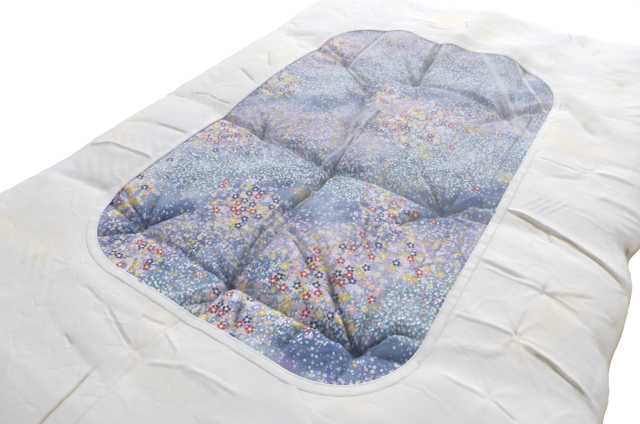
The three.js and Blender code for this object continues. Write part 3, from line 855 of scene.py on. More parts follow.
def edge_ripples(walked, reach):
    """Small puckers across the tape's seam, which the stitching gathers into the cotton."""
    ripples = noise(walked, reach * 0.25, 0.016, 35) * (0.6 + 0.4 * noise(walked, reach, 0.090, 36))
    fade = np.exp(-np.maximum(reach - RIPPLE_REACH, 0) / RIPPLE_FADE)
    return RIPPLE_HEIGHT * ripples * smooth(reach / RIPPLE_RISE) * fade


def along_noise(walked, size, seed):
    """Noise along a line alone."""
    return noise(walked, walked * 0, size, seed)


def side_pleats(border):
    """Uneven upright pleats down the cover's side, gathered by its seam."""
    walked = walked_round(border.edge)
    height = border.skin[..., 2] - SEAM_HEIGHT
    low = bell(height - SIDE_PLEAT_LEVEL, SIDE_PLEAT_SPREAD)
    gathers = along_noise(walked, 0.034, 81) + 0.6 * along_noise(walked, 0.013, 82)
    patches = 0.35 + 0.65 * smooth(0.5 + 0.8 * along_noise(walked, 0.17, 83))
    return SIDE_PLEATS * low * patches * np.minimum(gathers, 0.25)


def border_relief(border):
    """How far the creases and ripples lift or sink the cotton at each place of the border."""
    x, y = border.skin[..., 0], border.skin[..., 1]
    reach = np.linalg.norm(border.skin[..., :2] - border.rim, axis=2)
    creases = cotton_creases(x, y) * kept_flat(reach) + edge_ripples(border.walked, reach)
    raised = creases + side_pleats(border)
    return raised * smooth((border.skin[..., 2] - SEAM_HEIGHT) / SEAM_FADE)


def lowest_nearby(relief, rings, stations):
    """The lowest relief within some rings and stations, for an underside with fewer points."""
    lowest = np.minimum(relief, 0)
    for _ in range(rings):
        lowest[1:-1] = np.minimum(np.minimum(lowest[:-2], lowest[2:]), lowest[1:-1])
    for _ in range(stations):
        lowest = np.minimum(lowest, np.minimum(np.roll(lowest, 1, 1), np.roll(lowest, -1, 1)))
    lowest[0], lowest[-1] = relief[0], relief[-1]
    return lowest


def cotton_points(border, offset, relief):
    """The cotton's surface at an offset out from the futon's skin, creases included."""
    points = border.skin + border.normals * (offset + relief)[..., None]
    points[..., 2] += bridge(border.skin[..., 0], border.skin[..., 1], border.opening)
    return points


def cotton_tones(border, relief):
    """How steeply the cotton stands, and how deep it lies in a fold or how low on its side, each from 0
    to 1, for its painted shade.
    """
    steep = smooth((STEEP_START - border.normals[..., 2]) / STEEP_SPAN)
    fold = smooth((-relief - FOLD_START) / FOLD_SPAN)
    low = smooth((SEAM_HEIGHT + LOW_START - border.skin[..., 2]) / LOW_SPAN)
    return steep, np.maximum(fold, LOW_SHARE * low)


def cotton_top_piece(materials):
    """The cotton border as one mesh, with a material for each of its four sides."""
    border = Border(COTTON_STATIONS, np.linspace(0, 1, COTTON_RINGS), [])
    relief = border_relief(border)
    upper = cotton_points(border, GAP + COTTON, relief)
    lower = cotton_points(border, GAP, lowest_nearby(relief, UNDER_STEP, 2))[::UNDER_STEP]
    outer = ring_numbers(0, *upper.shape[:2])
    inner = ring_numbers(outer.size, *lower.shape[:2])
    faces = cloth_quads(outer, inner, [(outer[-1], inner[-1]), (inner[0], outer[0])])
    piece = make_piece("cotton_top", [upper, lower], faces, materials[0])
    for material in materials[1:]:
        piece.data.materials.append(material)
    sides = np.repeat(np.arange(4), COTTON_STATIONS)
    piece.data.polygons.foreach_set("material_index", np.tile(sides, len(faces)))
    # Tones for the painted shade in the cotton's colour
    for name, tone in zip(("steep", "fold"), cotton_tones(border, relief)):
        add_field(piece, name, tone)
    return piece


def net_lines(x, y):
    """Rise and whitening of the creases pressed into the window's cloth."""
    x, y = from_window(x, y)
    drawn_x = x + uneven(x, y, NET_WANDER)
    rise, white = np.zeros_like(x), np.zeros_like(x)
    for x1, y1, x2, y2, height, width, whiter in NET_CREASES:
        distance, _, along = line_place(drawn_x, y, *np.array((x1, y1, x2, y2)) * MM)
        shape = bell(distance, width * MM) * (0.4 + 0.6 * end_taper(along, 0.1))
        rise += height * MM * shape
        white = np.maximum(white, whiter * shape)
    return rise, white


def net_height(x, y, rise):
    """The underside of the window's cloth, laid over the print and a little way into its puckers."""
    top = crown(x, y) - sharp_hollow(x, y) * NET_KEEP + uneven(x, y, FILLING_LUMPS)
    puckers = futon_puckers(x, y)
    sunk = np.minimum(puckers * NET_PUCKER_SHARE, NET_PUCKER_DEPTH)
    return top - np.minimum(sunk, puckers) + rise + uneven(x, y, NET_LUMPS) + NET_AIR


def net_piece(material):
    columns, rows = NET_GRID
    x, y = np.moveaxis(window_grid(columns, rows), -1, 0)
    rise, white = net_lines(x, y)
    held = 1 - smooth(inside_window(x, y) / RIM_REACH)
    seat = crown(x, y) - hollow(x, y) * NET_KEEP + GAP + COTTON - NET
    under = np.stack([x, y, net_height(x, y, rise) * (1 - held) + seat * held], axis=-1)
    over = under + grid_normals(under, closed=False) * NET
    upper = ring_numbers(0, rows + 1, columns + 1)
    lower = upper + upper.size
    faces = [grid_quads(upper), grid_quads(lower)[:, ::-1],
             quads_between(grid_rim(upper), grid_rim(lower))]
    piece = make_piece("net_window", [over, under], faces, material)
    add_field(piece, "whiter", np.stack([white, white]))
    return piece


def tape_frame():
    """Points round the window's edge, the directions out from it and the way walked along it."""
    rim = window_outline(TAPE_STATIONS)
    ahead = np.roll(rim, -1, axis=0) - np.roll(rim, 1, axis=0)
    ahead /= np.linalg.norm(ahead, axis=1, keepdims=True)
    out = np.stack([ahead[:, 1], -ahead[:, 0]], axis=1)
    return rim, out, walked_round(rim)


def tape_base(x, y, walked, distance):
    """Height of the cloth that the tape lies on, at a distance out from the window's edge."""
    reach = np.maximum(distance, 0)
    creases = cotton_creases(x, y) * kept_flat(reach) + edge_ripples(walked, reach)
    opening = smooth(reach / SLACK_REACH)
    return crown(x, y) - hollow(x, y) + bridge(x, y, opening) + creases + GAP + COTTON


def tape_piece(material):
    rim, out, walked = tape_frame()
    puckers = TAPE_PUCKER * along_noise(walked, 0.0065, 51)
    wander = TAPE_WANDER * along_noise(walked, 0.060, 52)
    rings = []
    for distance, height in TAPE_PROFILE:
        x, y = (rim + out * (distance + wander)[:, None]).T
        drawn = puckers * smooth(height / 0.001) * (1 + 0.8 * (height > 0.0011))
        base = tape_base(x, y, walked, distance)
        rings.append(np.stack([x, y, base + height + drawn], axis=1))
    numbers = ring_numbers(0, len(rings), len(rim))
    faces = [quads_between(a, b) for a, b in zip(numbers, np.roll(numbers, -1, axis=0))]
    return make_piece("window_binding", rings, faces, material)


def closed_frame():
    """The tape's frame a whole way round, its first point repeated at the end."""
    rim, out, walked = tape_frame()
    total = walked[-1] + np.linalg.norm(rim[0] - rim[-1])
    return np.vstack([rim, rim[:1]]), np.vstack([out, out[:1]]), np.append(walked, total)


def at_ways(ways, walked, values):
    """Places or directions on the plan at some ways walked along the tape."""
    return np.stack([np.interp(ways, walked, values[:, axis]) for axis in (0, 1)], axis=1)


def stitch_row(frame, starts, distance):
    """The points of one row's stitches: section after section, each point for every stitch."""
    rim, out, walked = frame
    points = []
    for share, size in STITCH_SWELL:
        ways = starts + share * STITCH_LENGTH
        middle, outward = at_ways(ways, walked, rim), at_ways(ways, walked, out)
        for side, up in STITCH_SECTION:
            x, y = (middle + outward * (distance + side * STITCH_THICK * size)).T
            seat = tape_base(x, y, ways, distance) + STITCH_SEAT
            height = seat + up * STITCH_THICK * size * STITCH_RISE
            points.append(np.stack([x, y, height], axis=1))
    return points


def stitch_quads(numbers):
    """Quads round each stitch of a row and over its two ends."""
    sides = len(STITCH_SECTION)
    faces = [np.stack([first[side], first[(side + 1) % sides], second[(side + 1) % sides],
                       second[side]], axis=1)
             for first, second in zip(numbers, numbers[1:]) for side in range(sides)]
    return [*faces, numbers[0][::-1].T, numbers[-1].T]


def stitch_piece(material):
    """Two rows of small stitches along the tape, as one joined mesh."""
    frame = closed_frame()
    starts = np.arange(0, frame[2][-1] - STITCH_PITCH, STITCH_PITCH)
    points, faces = [], []
    for distance in STITCH_ROWS:
        numbers = ring_numbers(len(points) * len(starts),
                               len(STITCH_SWELL) * len(STITCH_SECTION), len(starts))
        faces += stitch_quads(numbers.reshape(len(STITCH_SWELL), len(STITCH_SECTION), -1))
        points += stitch_row(frame, starts, distance)
    return make_piece("tape_stitches", points, faces, material)


def back_piece(material):
    """The back panel: from the side seam down and under, and flat across the floor."""
    border = Border(BACK_STATIONS, [1.0], BACK_REACHES)
    border.normals[0, :, 2] = 0
    border.normals[0] /= np.linalg.norm(border.normals[0], axis=1, keepdims=True)
    border.normals[-1] = (0, 0, -1)
    inside = border.skin + border.normals * GAP
    outside = border.skin + border.normals * (GAP + COTTON)
    outer = ring_numbers(0, *outside.shape[:2])
    inner = ring_numbers(outer.size, *inside.shape[:2])
    under = outer.size + inner.size
    faces = cloth_quads(outer, inner, [(inner[0], outer[0])])
    faces += [fan(under, outer[-1]), fan(under + 1, inner[-1])[:, [0, 2, 1]]]
    parts = [outside, inside, [(0, 0, 0), (0, 0, COTTON)]]
    return make_piece("cotton_back", parts, faces, material)


# ---------- materials ----------

def colour(code):
    """A web code's colour in linear light; a plain number is a grey."""
    if not isinstance(code, str):
        return (code, code, code, 1)
    parts = [int(code[at:at + 2], 16) / 255 for at in (1, 3, 5)]
    linear = [part / 12.92 if part < 0.04045 else ((part + 0.055) / 1.055) ** 2.4
              for part in parts]
    return (*linear, 1)


class Shader:
    """The node tree of a material or the world, with one short call for each kind of node."""

    def __init__(self, owner, output="OutputMaterial"):
        owner.use_nodes = True
        self.owner = owner
        self.tree = owner.node_tree
        self.tree.nodes.clear()
        self.output = self.node(output)

    def node(self, kind, inputs=(), **settings):
        made = self.tree.nodes.new("ShaderNode" + kind)
        for key, value in settings.items():
            setattr(made, key, value)
        for key, value in dict(inputs).items():
            self.feed(made.inputs[key], value)
        return made

    def feed(self, socket, value):
        if isinstance(value, bpy.types.NodeSocket):
            self.tree.links.new(value, socket)
        else:
            socket.default_value = colour(value) if isinstance(value, str) else value

    def finish(self, surface):
        self.feed(self.output.inputs[0], surface.outputs[0])
        return self.owner

    def math(self, operation, *values, clamp=False):
        inputs = dict(enumerate(values))
        return self.node("Math", inputs, operation=operation, use_clamp=clamp).outputs[0]

    def times(self, *values, clamp=False):
        return self.math("MULTIPLY", *values, clamp=clamp)

    def vector(self, operation, *values, output="Vector", **named):
        inputs = {**dict(enumerate(values)), **named}
        return self.node("VectorMath", inputs, operation=operation).outputs[output]

    def measure(self, operation, *values):
        """A number worked out from vectors, such as a length or a distance."""
        return self.vector(operation, *values, output="Value")

    def place(self):
        return self.node("TexCoord").outputs["Object"]

    def flat(self, place):
        """The place on the plan, with no height."""
        return self.vector("MULTIPLY", place, (1, 1, 0))

    def field(self, name):
        """A number that the mesh keeps for each vertex."""
        return self.node("Attribute", attribute_name=name).outputs["Fac"]

    def noise(self, place, scale, detail=2.0, roughness=0.5, shift=None):
        moved = self.vector("ADD", place, shift) if shift else place
        inputs = {"Vector": moved, "Scale": scale, "Detail": detail, "Roughness": roughness}
        return self.node("TexNoise", inputs).outputs["Fac"]

    def cells(self, place, pitch, randomness, shift):
        """Scattered points about a pitch apart: place in pitches, nearest point and its chance."""
        moved = self.vector("ADD", place, shift)
        scaled = self.vector("SCALE", moved, Scale=1 / pitch)
        inputs = {"Vector": scaled, "Scale": 1.0, "Randomness": randomness}
        found = self.node("TexVoronoi", inputs, voronoi_dimensions="2D").outputs
        back = self.vector("SCALE", found["Position"], Scale=pitch)
        home = self.vector("SUBTRACT", back, shift)
        chance = self.node("SeparateColor", {"Color": found["Color"]}).outputs
        return self.vector("SUBTRACT", scaled, found["Position"]), home, chance

    def step(self, value, start, end):
        """0 before start, 1 after end, smooth between; falls where start is above end."""
        inputs = {"Value": value, "From Min": start, "From Max": end}
        return self.node("MapRange", inputs, interpolation_type="SMOOTHSTEP").outputs[0]

    def ramp(self, value, stops, mode="LINEAR"):
        made = self.node("ValToRGB", {"Fac": value})
        band = made.color_ramp
        band.interpolation = mode
        while len(band.elements) < len(stops):
            band.elements.new(0.5)
        for element, (place, code) in zip(band.elements, stops):
            element.position = place
            element.color = colour(code)
        return made.outputs["Color"]

    def level(self, value, stops):
        """A number along a curve of (place, height) stops."""
        return self.node("SeparateColor", {"Color": self.ramp(value, stops)}).outputs[0]

    def mix(self, share, first, second):
        made = self.node("Mix", data_type="RGBA")
        for order, value in ((0, share), (6, first), (7, second)):
            self.feed(made.inputs[order], value)
        return made.outputs[2]

    def tint(self, ground, code, value, start, end, strength=1.0):
        """The ground, going over to a colour as a value goes from start to end."""
        share = self.times(self.step(value, start, end), strength)
        return self.mix(share, ground, code)

    def line(self, place, start, end, width):
        """1 along a line, falling to 0 at its half width and towards its two ends."""
        way = Vector((end[0] - start[0], end[1] - start[1], 0))
        off = self.vector("SUBTRACT", place, (start[0], start[1], 0))
        reached = self.measure("DOT_PRODUCT", off, tuple(way / way.length_squared))
        held = self.math("ADD", reached, 0.0, clamp=True)
        nearest = self.vector("SCALE", tuple(way), Scale=held)
        share = self.step(self.measure("DISTANCE", off, nearest), width, 0.0)
        taper = self.times(self.math("PINGPONG", held, 0.5), 6.0, clamp=True)
        return self.times(share, taper)

    def bump(self, height, distance, strength=1.0, below=None):
        inputs = {"Height": height, "Distance": distance, "Strength": strength}
        made = self.node("Bump", inputs)
        if below:
            self.feed(made.inputs["Normal"], below)
        return made.outputs[0]

    def surface(self, **inputs):
        named = {key.replace("_", " "): value for key, value in inputs.items()}
        return self.finish(self.node("BsdfPrincipled", named))


COTTON_THREADS = 0.0007
FINE_THREADS = 0.0006
THREAD_HEIGHT = 0.00006


def new_shader(name):
    return Shader(bpy.data.materials.new(name))


def weave(shader, place, pitch):
    """Height of a plain weave with threads a pitch apart."""
    inputs = {"Vector": place, "Scale": 1 / pitch / math.pi / 2, "Distortion": 0.0, "Detail": 0.0}
    across = shader.node("TexWave", inputs, bands_direction="X")
    along = shader.node("TexWave", inputs, bands_direction="Y")
    return shader.times(across.outputs["Fac"], along.outputs["Fac"])


def pressed_height(shader, place, lines):
    """Height in millimetres of narrow creases pressed into the cotton."""
    waves = shader.node("TexNoise", {"Vector": place, "Scale": 22.0, "Detail": 1.0})
    centred = shader.vector("SUBTRACT", waves.outputs["Color"], (0.5, 0.5, 0.5))
    drawn = shader.vector("ADD", place, shader.vector("SCALE", centred, Scale=0.010))
    flat = shader.flat(drawn)
    total = 0.0
    for x1, y1, x2, y2, rise, width in lines:
        start = WINDOW_MIDDLE + np.array((x1, y1)) * MM
        end = WINDOW_MIDDLE + np.array((x2, y2)) * MM
        share = shader.line(flat, start, end, width * MM)
        total = shader.math("MULTIPLY_ADD", share, rise, total)
    return total


def facet_height(shader, place, scale, width, rise):
    """Height in millimetres of a faint, uneven net of straight creases."""
    waves = shader.node("TexNoise", {"Vector": place, "Scale": scale * 1.5, "Detail": 2.0})
    aside = shader.vector("SCALE", waves.outputs["Color"], Scale=0.5 / scale)
    drawn = shader.vector("ADD", place, aside)
    inputs = {"Vector": drawn, "Scale": scale, "Randomness": 1.0}
    edges = shader.node("TexVoronoi", inputs, feature="DISTANCE_TO_EDGE").outputs["Distance"]
    patches = shader.step(shader.noise(place, scale * 0.8), 0.44, 0.66)
    return shader.times(shader.step(edges, width, 0.0), shader.times(patches, rise))


def cotton_colour(shader, place, pressed):
    """White, creamy in random patches, with painted warm shade where it stands steep, painted tan and
    brownish shade down in its folds and low on its side, and a painted tan shadow along its sunken
    pressed lines.
    """
    tone = shader.noise(place, 6.0, 4.0, 0.6)
    white = shader.ramp(tone, [(0.3, "#E4E5E9"), (0.7, "#ECECED")])
    steep, fold = shader.field("steep"), shader.field("fold")
    patches = shader.step(shader.noise(place, 5.0, shift=(3, 1, 0)), 0.48, 0.74)
    # Cream in random patches, which is the cloth's own tone, and painted warm shade where the cotton
    # stands steep
    cream_patches_and_steep_shade = shader.math("MULTIPLY_ADD", steep, 0.8, patches, clamp=True)
    cream = shader.mix(shader.times(cream_patches_and_steep_shade, 0.85), white, "#EDE8DB")
    # Painted shade: tan down in the folds and low on the side, and brownish grey in the deepest folds
    shade = shader.mix(shader.times(fold, 0.60), cream, "#C4B088")
    shade = shader.tint(shade, "#6A5A5C", fold, 0.82, 1.0, 0.65)
    # Painted shadow: tan along the sunken pressed lines
    return shader.tint(shade, "#B8A478", pressed, -0.9, -2.2, 0.75)


def cotton_normal(shader, place, pressed):
    """Weave, slubs and wrinkles, two nets of faint creases and the pressed lines over them."""
    slubs = shader.noise(shader.vector("MULTIPLY", place, (1, 9, 1)), 160.0)
    wrinkles = shader.noise(place, 38.0, 5.0, 0.62)
    normal = shader.bump(weave(shader, place, COTTON_THREADS), THREAD_HEIGHT)
    normal = shader.bump(slubs, 0.00012, below=normal)
    normal = shader.bump(wrinkles, 0.0014, 0.6, below=normal)
    normal = shader.bump(facet_height(shader, place, 7.0, 0.06, 0.7), MM, below=normal)
    normal = shader.bump(facet_height(shader, place, 17.0, 0.10, -0.4), MM, below=normal)
    return shader.bump(pressed, MM, below=normal)


def cotton_material(name, lines):
    """White cotton with, on one side of the border, its pressed lines."""
    shader = new_shader(name)
    place = shader.place()
    pressed = pressed_height(shader, place, lines)
    return shader.surface(
        Base_Color=cotton_colour(shader, place, pressed), Roughness=0.85,
        Normal=cotton_normal(shader, place, pressed), Sheen_Weight=0.15, Sheen_Roughness=0.5,
        Specular_IOR_Level=0.2)


def tape_material():
    shader = new_shader("cotton tape")
    place = shader.place()
    shade = shader.ramp(shader.noise(place, 25.0, 3.0), [(0.3, "#E7E8EB"), (0.7, "#EEEEF0")])
    threads = shader.bump(weave(shader, place, FINE_THREADS), 0.0001)
    normal = shader.bump(shader.noise(place, 420.0), 0.0004, 0.7, below=threads)
    return shader.surface(Base_Color=shade, Roughness=0.8, Normal=normal, Sheen_Weight=0.1,
                          Specular_IOR_Level=0.25)


def thread_material():
    shader = new_shader("sewing thread")
    twist = shader.noise(shader.place(), 900.0, 1.0)
    shade = shader.ramp(twist, [(0.3, "#D9D6CF"), (0.7, "#F0EEE9")])
    return shader.surface(Base_Color=shade, Roughness=0.6, Specular_IOR_Level=0.35)


# How much the window's cloth covers at its near and its far end: y, share
NET_HAZE = [(-0.55, 0.008), (0.65, 0.190)]


def net_material():
    """Milky sheer cloth: fine threads with light between them, whiter along pressed creases."""
    shader = new_shader("sheer net")
    place = shader.place()
    along = shader.node("SeparateXYZ", {0: place}).outputs[1]
    (near, near_haze), (far, far_haze) = NET_HAZE
    haze = shader.node("MapRange", {"Value": along, "From Min": near, "From Max": far,
                                    "To Min": near_haze, "To Max": far_haze}).outputs[0]
    cover = shader.math("MULTIPLY_ADD", shader.noise(place, 7.0, 3.0), 0.010, haze)
    cover = shader.math("MULTIPLY_ADD", shader.noise(place, 700.0, 1.0), 0.012, cover)
    cover = shader.math("MULTIPLY_ADD", shader.field("whiter"), 0.40, cover)
    return shader.surface(Base_Color="#EEF1F6", Roughness=0.7, Alpha=cover, Sheen_Weight=0.05,
                          Sheen_Roughness=0.4, Specular_IOR_Level=0.2)


# ---------- the futon's print ----------

# Flower clusters: x, y, radius in metres from the window's middle
CLUSTERS = [
    (0.10, 0.15, 0.13), (0.17, -0.44, 0.13), (-0.33, -0.17, 0.09), (-0.35, 0.44, 0.10),
    (-0.37, -0.47, 0.07), (-0.10, -0.37, 0.09), (0.06, -0.60, 0.08), (0.17, -0.20, 0.07),
    (-0.05, 0.26, 0.07), (-0.20, -0.62, 0.07), (0.30, -0.30, 0.07), (-0.34, 0.12, 0.07),
]

# Bluer pools in the ground, round the last five tufts: x, y, radius in metres
POOL_RADIUS = 0.12
POOLS = [(x * MM, y * MM, POOL_RADIUS) for x, y, _, _ in TUFTS[4:]]

PALETTE = {
    "mint": "#C6E4E6", "pink": "#DEC2D4", "cream": "#EAE4C8", "mustard": "#B0903A",
    "lilac": "#B6A8D0", "white": "#F2F5F6", "yellow": "#E8CA50", "red": "#C03442",
    "navy": "#2A3470", "rose": "#E8B2B4", "pale": "#E0DAEC", "straw": "#DEC766",
    "haze": "#D4CCE0", "sky": "#9CC4D2", "dusk": "#7A84B4",
}
GROUND = [
    (0.00, "#7E92C0"), (0.12, "#829CBE"), (0.30, "#7EA2BA"), (0.42, "#94A0CA"), (0.48, "#8492BE"),
    (0.56, "#B4AED2"), (0.72, "#B0AACE"), (0.84, "#9AA8CE"), (0.92, "#6C8CAE"), (1.00, "#7E92C0"),
]
COOL_BAND = [
    (0.00, 0.10), (0.08, 0.45), (0.14, 0.95), (0.34, 1.00), (0.44, 0.60), (0.50, 0.15),
    (0.62, 0.06), (0.86, 0.10), (0.94, 0.25), (1.00, 0.10),
]
WARM_BAND = [(0.00, 0.05), (0.42, 0.08), (0.52, 0.85), (0.76, 0.92), (0.88, 0.35), (0.96, 0.06)]
BAND_PITCH = 0.45
ACROSS_BANDS = (-0.58, 0.81, 0)
ALONG_BANDS = (0.243, 0.174, 0)


def band_phase(shader, place):
    """Where a place lies in the print's slanting bands, from 0 to 1 across one cool and one warm."""
    across = shader.measure("DOT_PRODUCT", place, ACROSS_BANDS)
    drawn = shader.math("MULTIPLY_ADD", shader.noise(place, 2.6, 1.5), 0.46, across)
    return shader.math("FRACT", shader.times(drawn, 1 / BAND_PITCH))


def streaked(shader, place, ground):
    """Watery streaks of light and dark along the bands."""
    across = shader.measure("DOT_PRODUCT", place, ACROSS_BANDS)
    along = shader.measure("DOT_PRODUCT", place, ALONG_BANDS)
    drawn = shader.node("CombineXYZ", {"X": across, "Y": along}).outputs[0]
    streaks = shader.noise(drawn, 24.0, 3.0, 0.55)
    dark = shader.tint(ground, "#4E6AA0", streaks, 0.50, 0.30, 0.70)
    return shader.tint(dark, "#D4DCEC", streaks, 0.52, 0.72, 0.72)


def circle_share(shader, place, circles):
    """1 inside each circle of a table, falling to 0 round it."""
    total = 0.0
    for x, y, radius in circles:
        middle = (x + WINDOW_MIDDLE[0], y + WINDOW_MIDDLE[1], 0)
        distance = shader.measure("DISTANCE", place, middle)
        share = shader.step(distance, radius * 1.25, radius * 0.35)
        total = shader.math("MAXIMUM", total, share)
    return total


def petals(shader, offset, turn, middle, size):
    """A ring of five round petals in a cell, from its local place."""
    parts = shader.node("SeparateXYZ", {0: offset}).outputs
    radius = shader.measure("LENGTH", offset)
    angle = shader.math("ARCTAN2", parts[1], parts[0])
    turned = shader.math("MULTIPLY_ADD", turn, 2 * math.pi, angle)
    fold_shaded_print = shader.math("PINGPONG", shader.math("ADD", turned, 4 * math.pi), math.pi / 5)
    reached = shader.times(radius, shader.math("COSINE", fold_shaded_print))
    out = shader.math("SUBTRACT", reached, middle)
    side = shader.times(radius, shader.math("SINE", fold_shaded_print))
    squares = shader.math("ADD", shader.times(out, out), shader.times(side, side))
    return shader.step(shader.math("SQRT", squares), size, size * 0.7), radius


def cool_band(shader, place):
    return shader.level(band_phase(shader, place), COOL_BAND)


def warm_band(shader, place):
    return shader.level(band_phase(shader, place), WARM_BAND)


def cluster_fill(shader, place):
    return shader.times(circle_share(shader, place, CLUSTERS), 0.9)


def flower_places(shader, place):
    inside = circle_share(shader, place, CLUSTERS)
    return shader.math("MULTIPLY_ADD", inside, 0.80, 0.012)


def scattered(shader, place, pitch, randomness, shift, density, colours):
    """Cells about a pitch apart, as many filled as the density at each one's place allows."""
    offset, home, chance = shader.cells(place, pitch, randomness, shift)
    filled = shader.math("GREATER_THAN", density(shader, home), chance[0])
    stops = [(start, PALETTE[name]) for start, name in colours.items()]
    return offset, chance[2], filled, shader.ramp(chance[1], stops, "CONSTANT")


def scatter_dots(shader, place, ground, pitch, size, shift, density, strength, colours):
    """Round dots in the filled cells."""
    offset, _, filled, tone = scattered(shader, place, pitch, 0.9, shift, density, colours)
    radius = shader.measure("LENGTH", offset)
    dot = shader.times(shader.step(radius, size, size * 0.6), filled)
    return shader.mix(shader.times(dot, strength), ground, tone)


def scatter_flowers(shader, place, ground, pitch, sizes, shift, density, heart, colours):
    """Flowers with five petals and a heart in the filled cells."""
    offset, turn, filled, tone = scattered(shader, place, pitch, 0.75, shift, density, colours)
    middle, petal = sizes
    ring, radius = petals(shader, offset, turn, middle, petal)
    flower = shader.mix(shader.times(ring, filled), ground, tone)
    core = shader.times(shader.step(radius, middle * 0.5, middle * 0.25), filled)
    return shader.mix(core, flower, PALETTE[heart])


# Pitch in metres, dot's radius in pitches, shift, density, strength, colours by chance
DOTS = [
    (0.0052, 0.33, (0.31, 0.17, 0), cool_band, 0.75,
     {0.0: "sky", 0.28: "dusk", 0.42: "pink", 0.60: "mint", 0.84: "white"}),
    (0.0072, 0.42, (0.0, 0.0, 0), cool_band, 1.0,
     {0.0: "mint", 0.30: "pink", 0.44: "cream", 0.54: "sky", 0.68: "white", 0.92: "mustard"}),
    (0.0060, 0.35, (0.7, 0.9, 0), warm_band, 0.9,
     {0.0: "haze", 0.20: "pink", 0.36: "straw", 0.48: "mustard", 0.58: "white", 0.74: "lilac",
      0.88: "sky"}),
]

# Pitch in metres, petals' place and radius in pitches, shift, density, heart, colours by chance
FLOWERS = [
    (0.0108, (0.22, 0.165), (0.5, 0.2, 0), warm_band, "haze",
     {0.0: "lilac", 0.20: "straw", 0.40: "haze", 0.58: "pink", 0.74: "pale", 0.88: "cream"}),
    (0.0150, (0.24, 0.165), (0.1, 0.6, 0), cluster_fill, "white",
     {0.0: "lilac", 0.26: "pink", 0.44: "pale", 0.64: "straw", 0.80: "haze"}),
    (0.0172, (0.24, 0.165), (0.45, 0.33, 0), cluster_fill, "haze",
     {0.0: "pale", 0.24: "pink", 0.44: "lilac", 0.62: "straw", 0.80: "cream"}),
    (0.0225, (0.27, 0.16), (0.8, 0.4, 0), flower_places, "white",
     {0.0: "navy", 0.30: "yellow", 0.50: "red", 0.74: "pale", 0.88: "rose"}),
]


def print_ground(shader, place):
    """Misty slanting bands with streaks, glows, specks and bluer pools."""
    ground = shader.ramp(band_phase(shader, place), GROUND)
    ground = shader.tint(ground, "#CCD4E8", shader.noise(place, 6.5, 3.0, 0.55), 0.43, 0.68)
    ground = shader.tint(ground, "#749CB0", shader.noise(place, 5.0, shift=(7, 3, 0)), 0.52, 0.75)
    ground = streaked(shader, place, ground)
    offset, _, chance = shader.cells(place, 0.26, 1.0, (0.2, 0.1, 0))
    glow = shader.ramp(chance[1], [(0.0, "#E2CE62"), (0.5, "#8E6CBE"), (0.8, "#A8A878")], "CONSTANT")
    ground = shader.tint(ground, glow, shader.measure("LENGTH", offset), 0.15, 0.02, 0.75)
    specks = shader.ramp(shader.noise(place, 420.0, 1.0),
                         [(0.38, "#566294"), (0.50, "#9AA0C2"), (0.62, "#D0CCE0")])
    ground = shader.mix(0.30, ground, specks)
    patches = shader.noise(place, 9.0, 4.0, 0.6, shift=(1, 5, 0))
    ground = shader.tint(ground, "#4A659A", patches, 0.55, 0.33)
    pools = shader.times(circle_share(shader, place, POOLS), 0.5)
    return shader.mix(pools, ground, "#5272AC")


def print_material():
    """The futon's printed cotton: slanting bands of small blossoms on misty blue ground."""
    shader = new_shader("printed cotton")
    place = shader.flat(shader.place())
    layer = print_ground(shader, place)
    for dots in DOTS:
        layer = scatter_dots(shader, place, layer, *dots)
    for flowers in FLOWERS:
        layer = scatter_flowers(shader, place, layer, *flowers)
    threads = shader.bump(weave(shader, place, FINE_THREADS), THREAD_HEIGHT)
    normal = shader.bump(shader.noise(place, 60.0, 4.0), 0.0010, 0.6, below=threads)
    # Painted shade: the print goes dark navy down in its sharp lines, pits and pleats
    fold_shaded_print = shader.mix(shader.times(shader.field("fold"), 0.8), layer, "#141B38")
    return shader.surface(Base_Color=fold_shaded_print, Roughness=0.75, Normal=normal, Sheen_Weight=0.05,
                          Specular_IOR_Level=0.25)


# ---------- stage, light and camera ----------

def floor():
    """A pale floor that shows near white in the picture and lights the cloth like a matt one."""
    mesh = bpy.data.meshes.new("floor")
    corners = [(x * FLOOR_HALF, y * FLOOR_HALF, 0) for x, y in ((-1, -1), (1, -1), (1, 1), (-1, 1))]
    mesh.from_pydata(corners, [], [(0, 1, 2, 3)])
    plane = bpy.data.objects.new("floor", mesh)
    bpy.context.scene.collection.objects.link(plane)
    shader = new_shader("pale floor")
    seen = shader.times(shader.node("LightPath").outputs["Is Camera Ray"], FLOOR_GLOW)
    white = shader.node("Emission", {"Color": (1, 1, 1, 1), "Strength": seen})
    grain = shader.noise(shader.place(), 2.0, 3.0)
    matt = shader.node("BsdfDiffuse",
                       {"Color": shader.ramp(grain, [(0.2, "#C9C0B4"), (0.8, "#D0C8BC")])})
    both = shader.node("AddShader", {0: matt.outputs[0], 1: white.outputs[0]})
    mesh.materials.append(shader.finish(both))


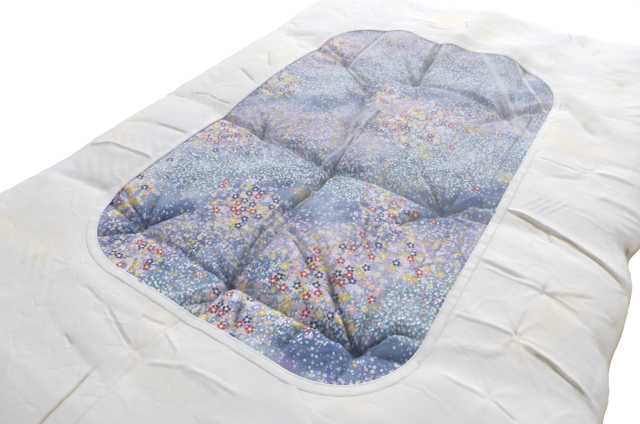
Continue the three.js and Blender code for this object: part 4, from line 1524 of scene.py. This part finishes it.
def area_light(name, place, target, size, watts, tint):
    lamp = bpy.data.lights.new(name, "AREA")
    lamp.shape = "RECTANGLE"
    lamp.size, lamp.size_y = size
    lamp.energy = watts
    lamp.color = tint
    holder = bpy.data.objects.new(name, lamp)
    holder.location = place
    holder.rotation_euler = (Vector(target) - Vector(place)).to_track_quat("-Z", "Y").to_euler()
    bpy.context.scene.collection.objects.link(holder)


def lighting():
    """The lamps, and a room that lights the scene but shows plain white behind it."""
    for lamp in LAMPS:
        area_light(*lamp)
    world = bpy.data.worlds.new("room")
    bpy.context.scene.world = world
    shader = Shader(world, "OutputWorld")
    seen = shader.node("LightPath").outputs["Is Camera Ray"]
    room = shader.node("Background", {"Color": ROOM_TINT, "Strength": ROOM_STRENGTH})
    white = shader.node("Background", {"Strength": 1.0})
    shader.finish(shader.node("MixShader", {0: seen, 1: room.outputs[0], 2: white.outputs[0]}))


def camera():
    lens = bpy.data.cameras.new("camera")
    lens.sensor_width = SENSOR
    lens.lens = LENS
    holder = bpy.data.objects.new("camera", lens)
    turn = Matrix.Rotation(math.radians(CAMERA_TURN), 4, "Z")
    tilt = Matrix.Rotation(math.radians(90 - CAMERA_TILT), 4, "X")
    roll = Matrix.Rotation(math.radians(CAMERA_ROLL), 4, "Z")
    right, back, up = CAMERA_PLACE
    spot = Vector((WINDOW_MIDDLE[0] + right, WINDOW_MIDDLE[1] - back, WINDOW_LEVEL + up))
    holder.matrix_world = Matrix.Translation(spot) @ turn @ tilt @ roll
    bpy.context.scene.collection.objects.link(holder)
    bpy.context.scene.camera = holder


# ---------- build ----------

bpy.context.scene.view_settings.view_transform = "Standard"
camera()
cotton = cotton_material("white cotton", [])
side_cottons = [cotton_material("white cotton " + side, lines)
                for side, lines in PRESSED_LINES.items()]
thread = thread_material()

futon = futon_piece(print_material())
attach(futon, "root")
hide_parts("futon")

top = cotton_top_piece(side_cottons)
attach(top, "root")
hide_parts("cover_top")

net = net_piece(net_material())
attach(net, "root")
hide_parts("window_net")

stitches = stitch_piece(thread)
binding = tape_piece(tape_material())
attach(binding, "root")
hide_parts("window_tape")
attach(stitches, "root")

back = back_piece(cotton)
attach(back, "root")
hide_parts("cover_back")

floor()
lighting()
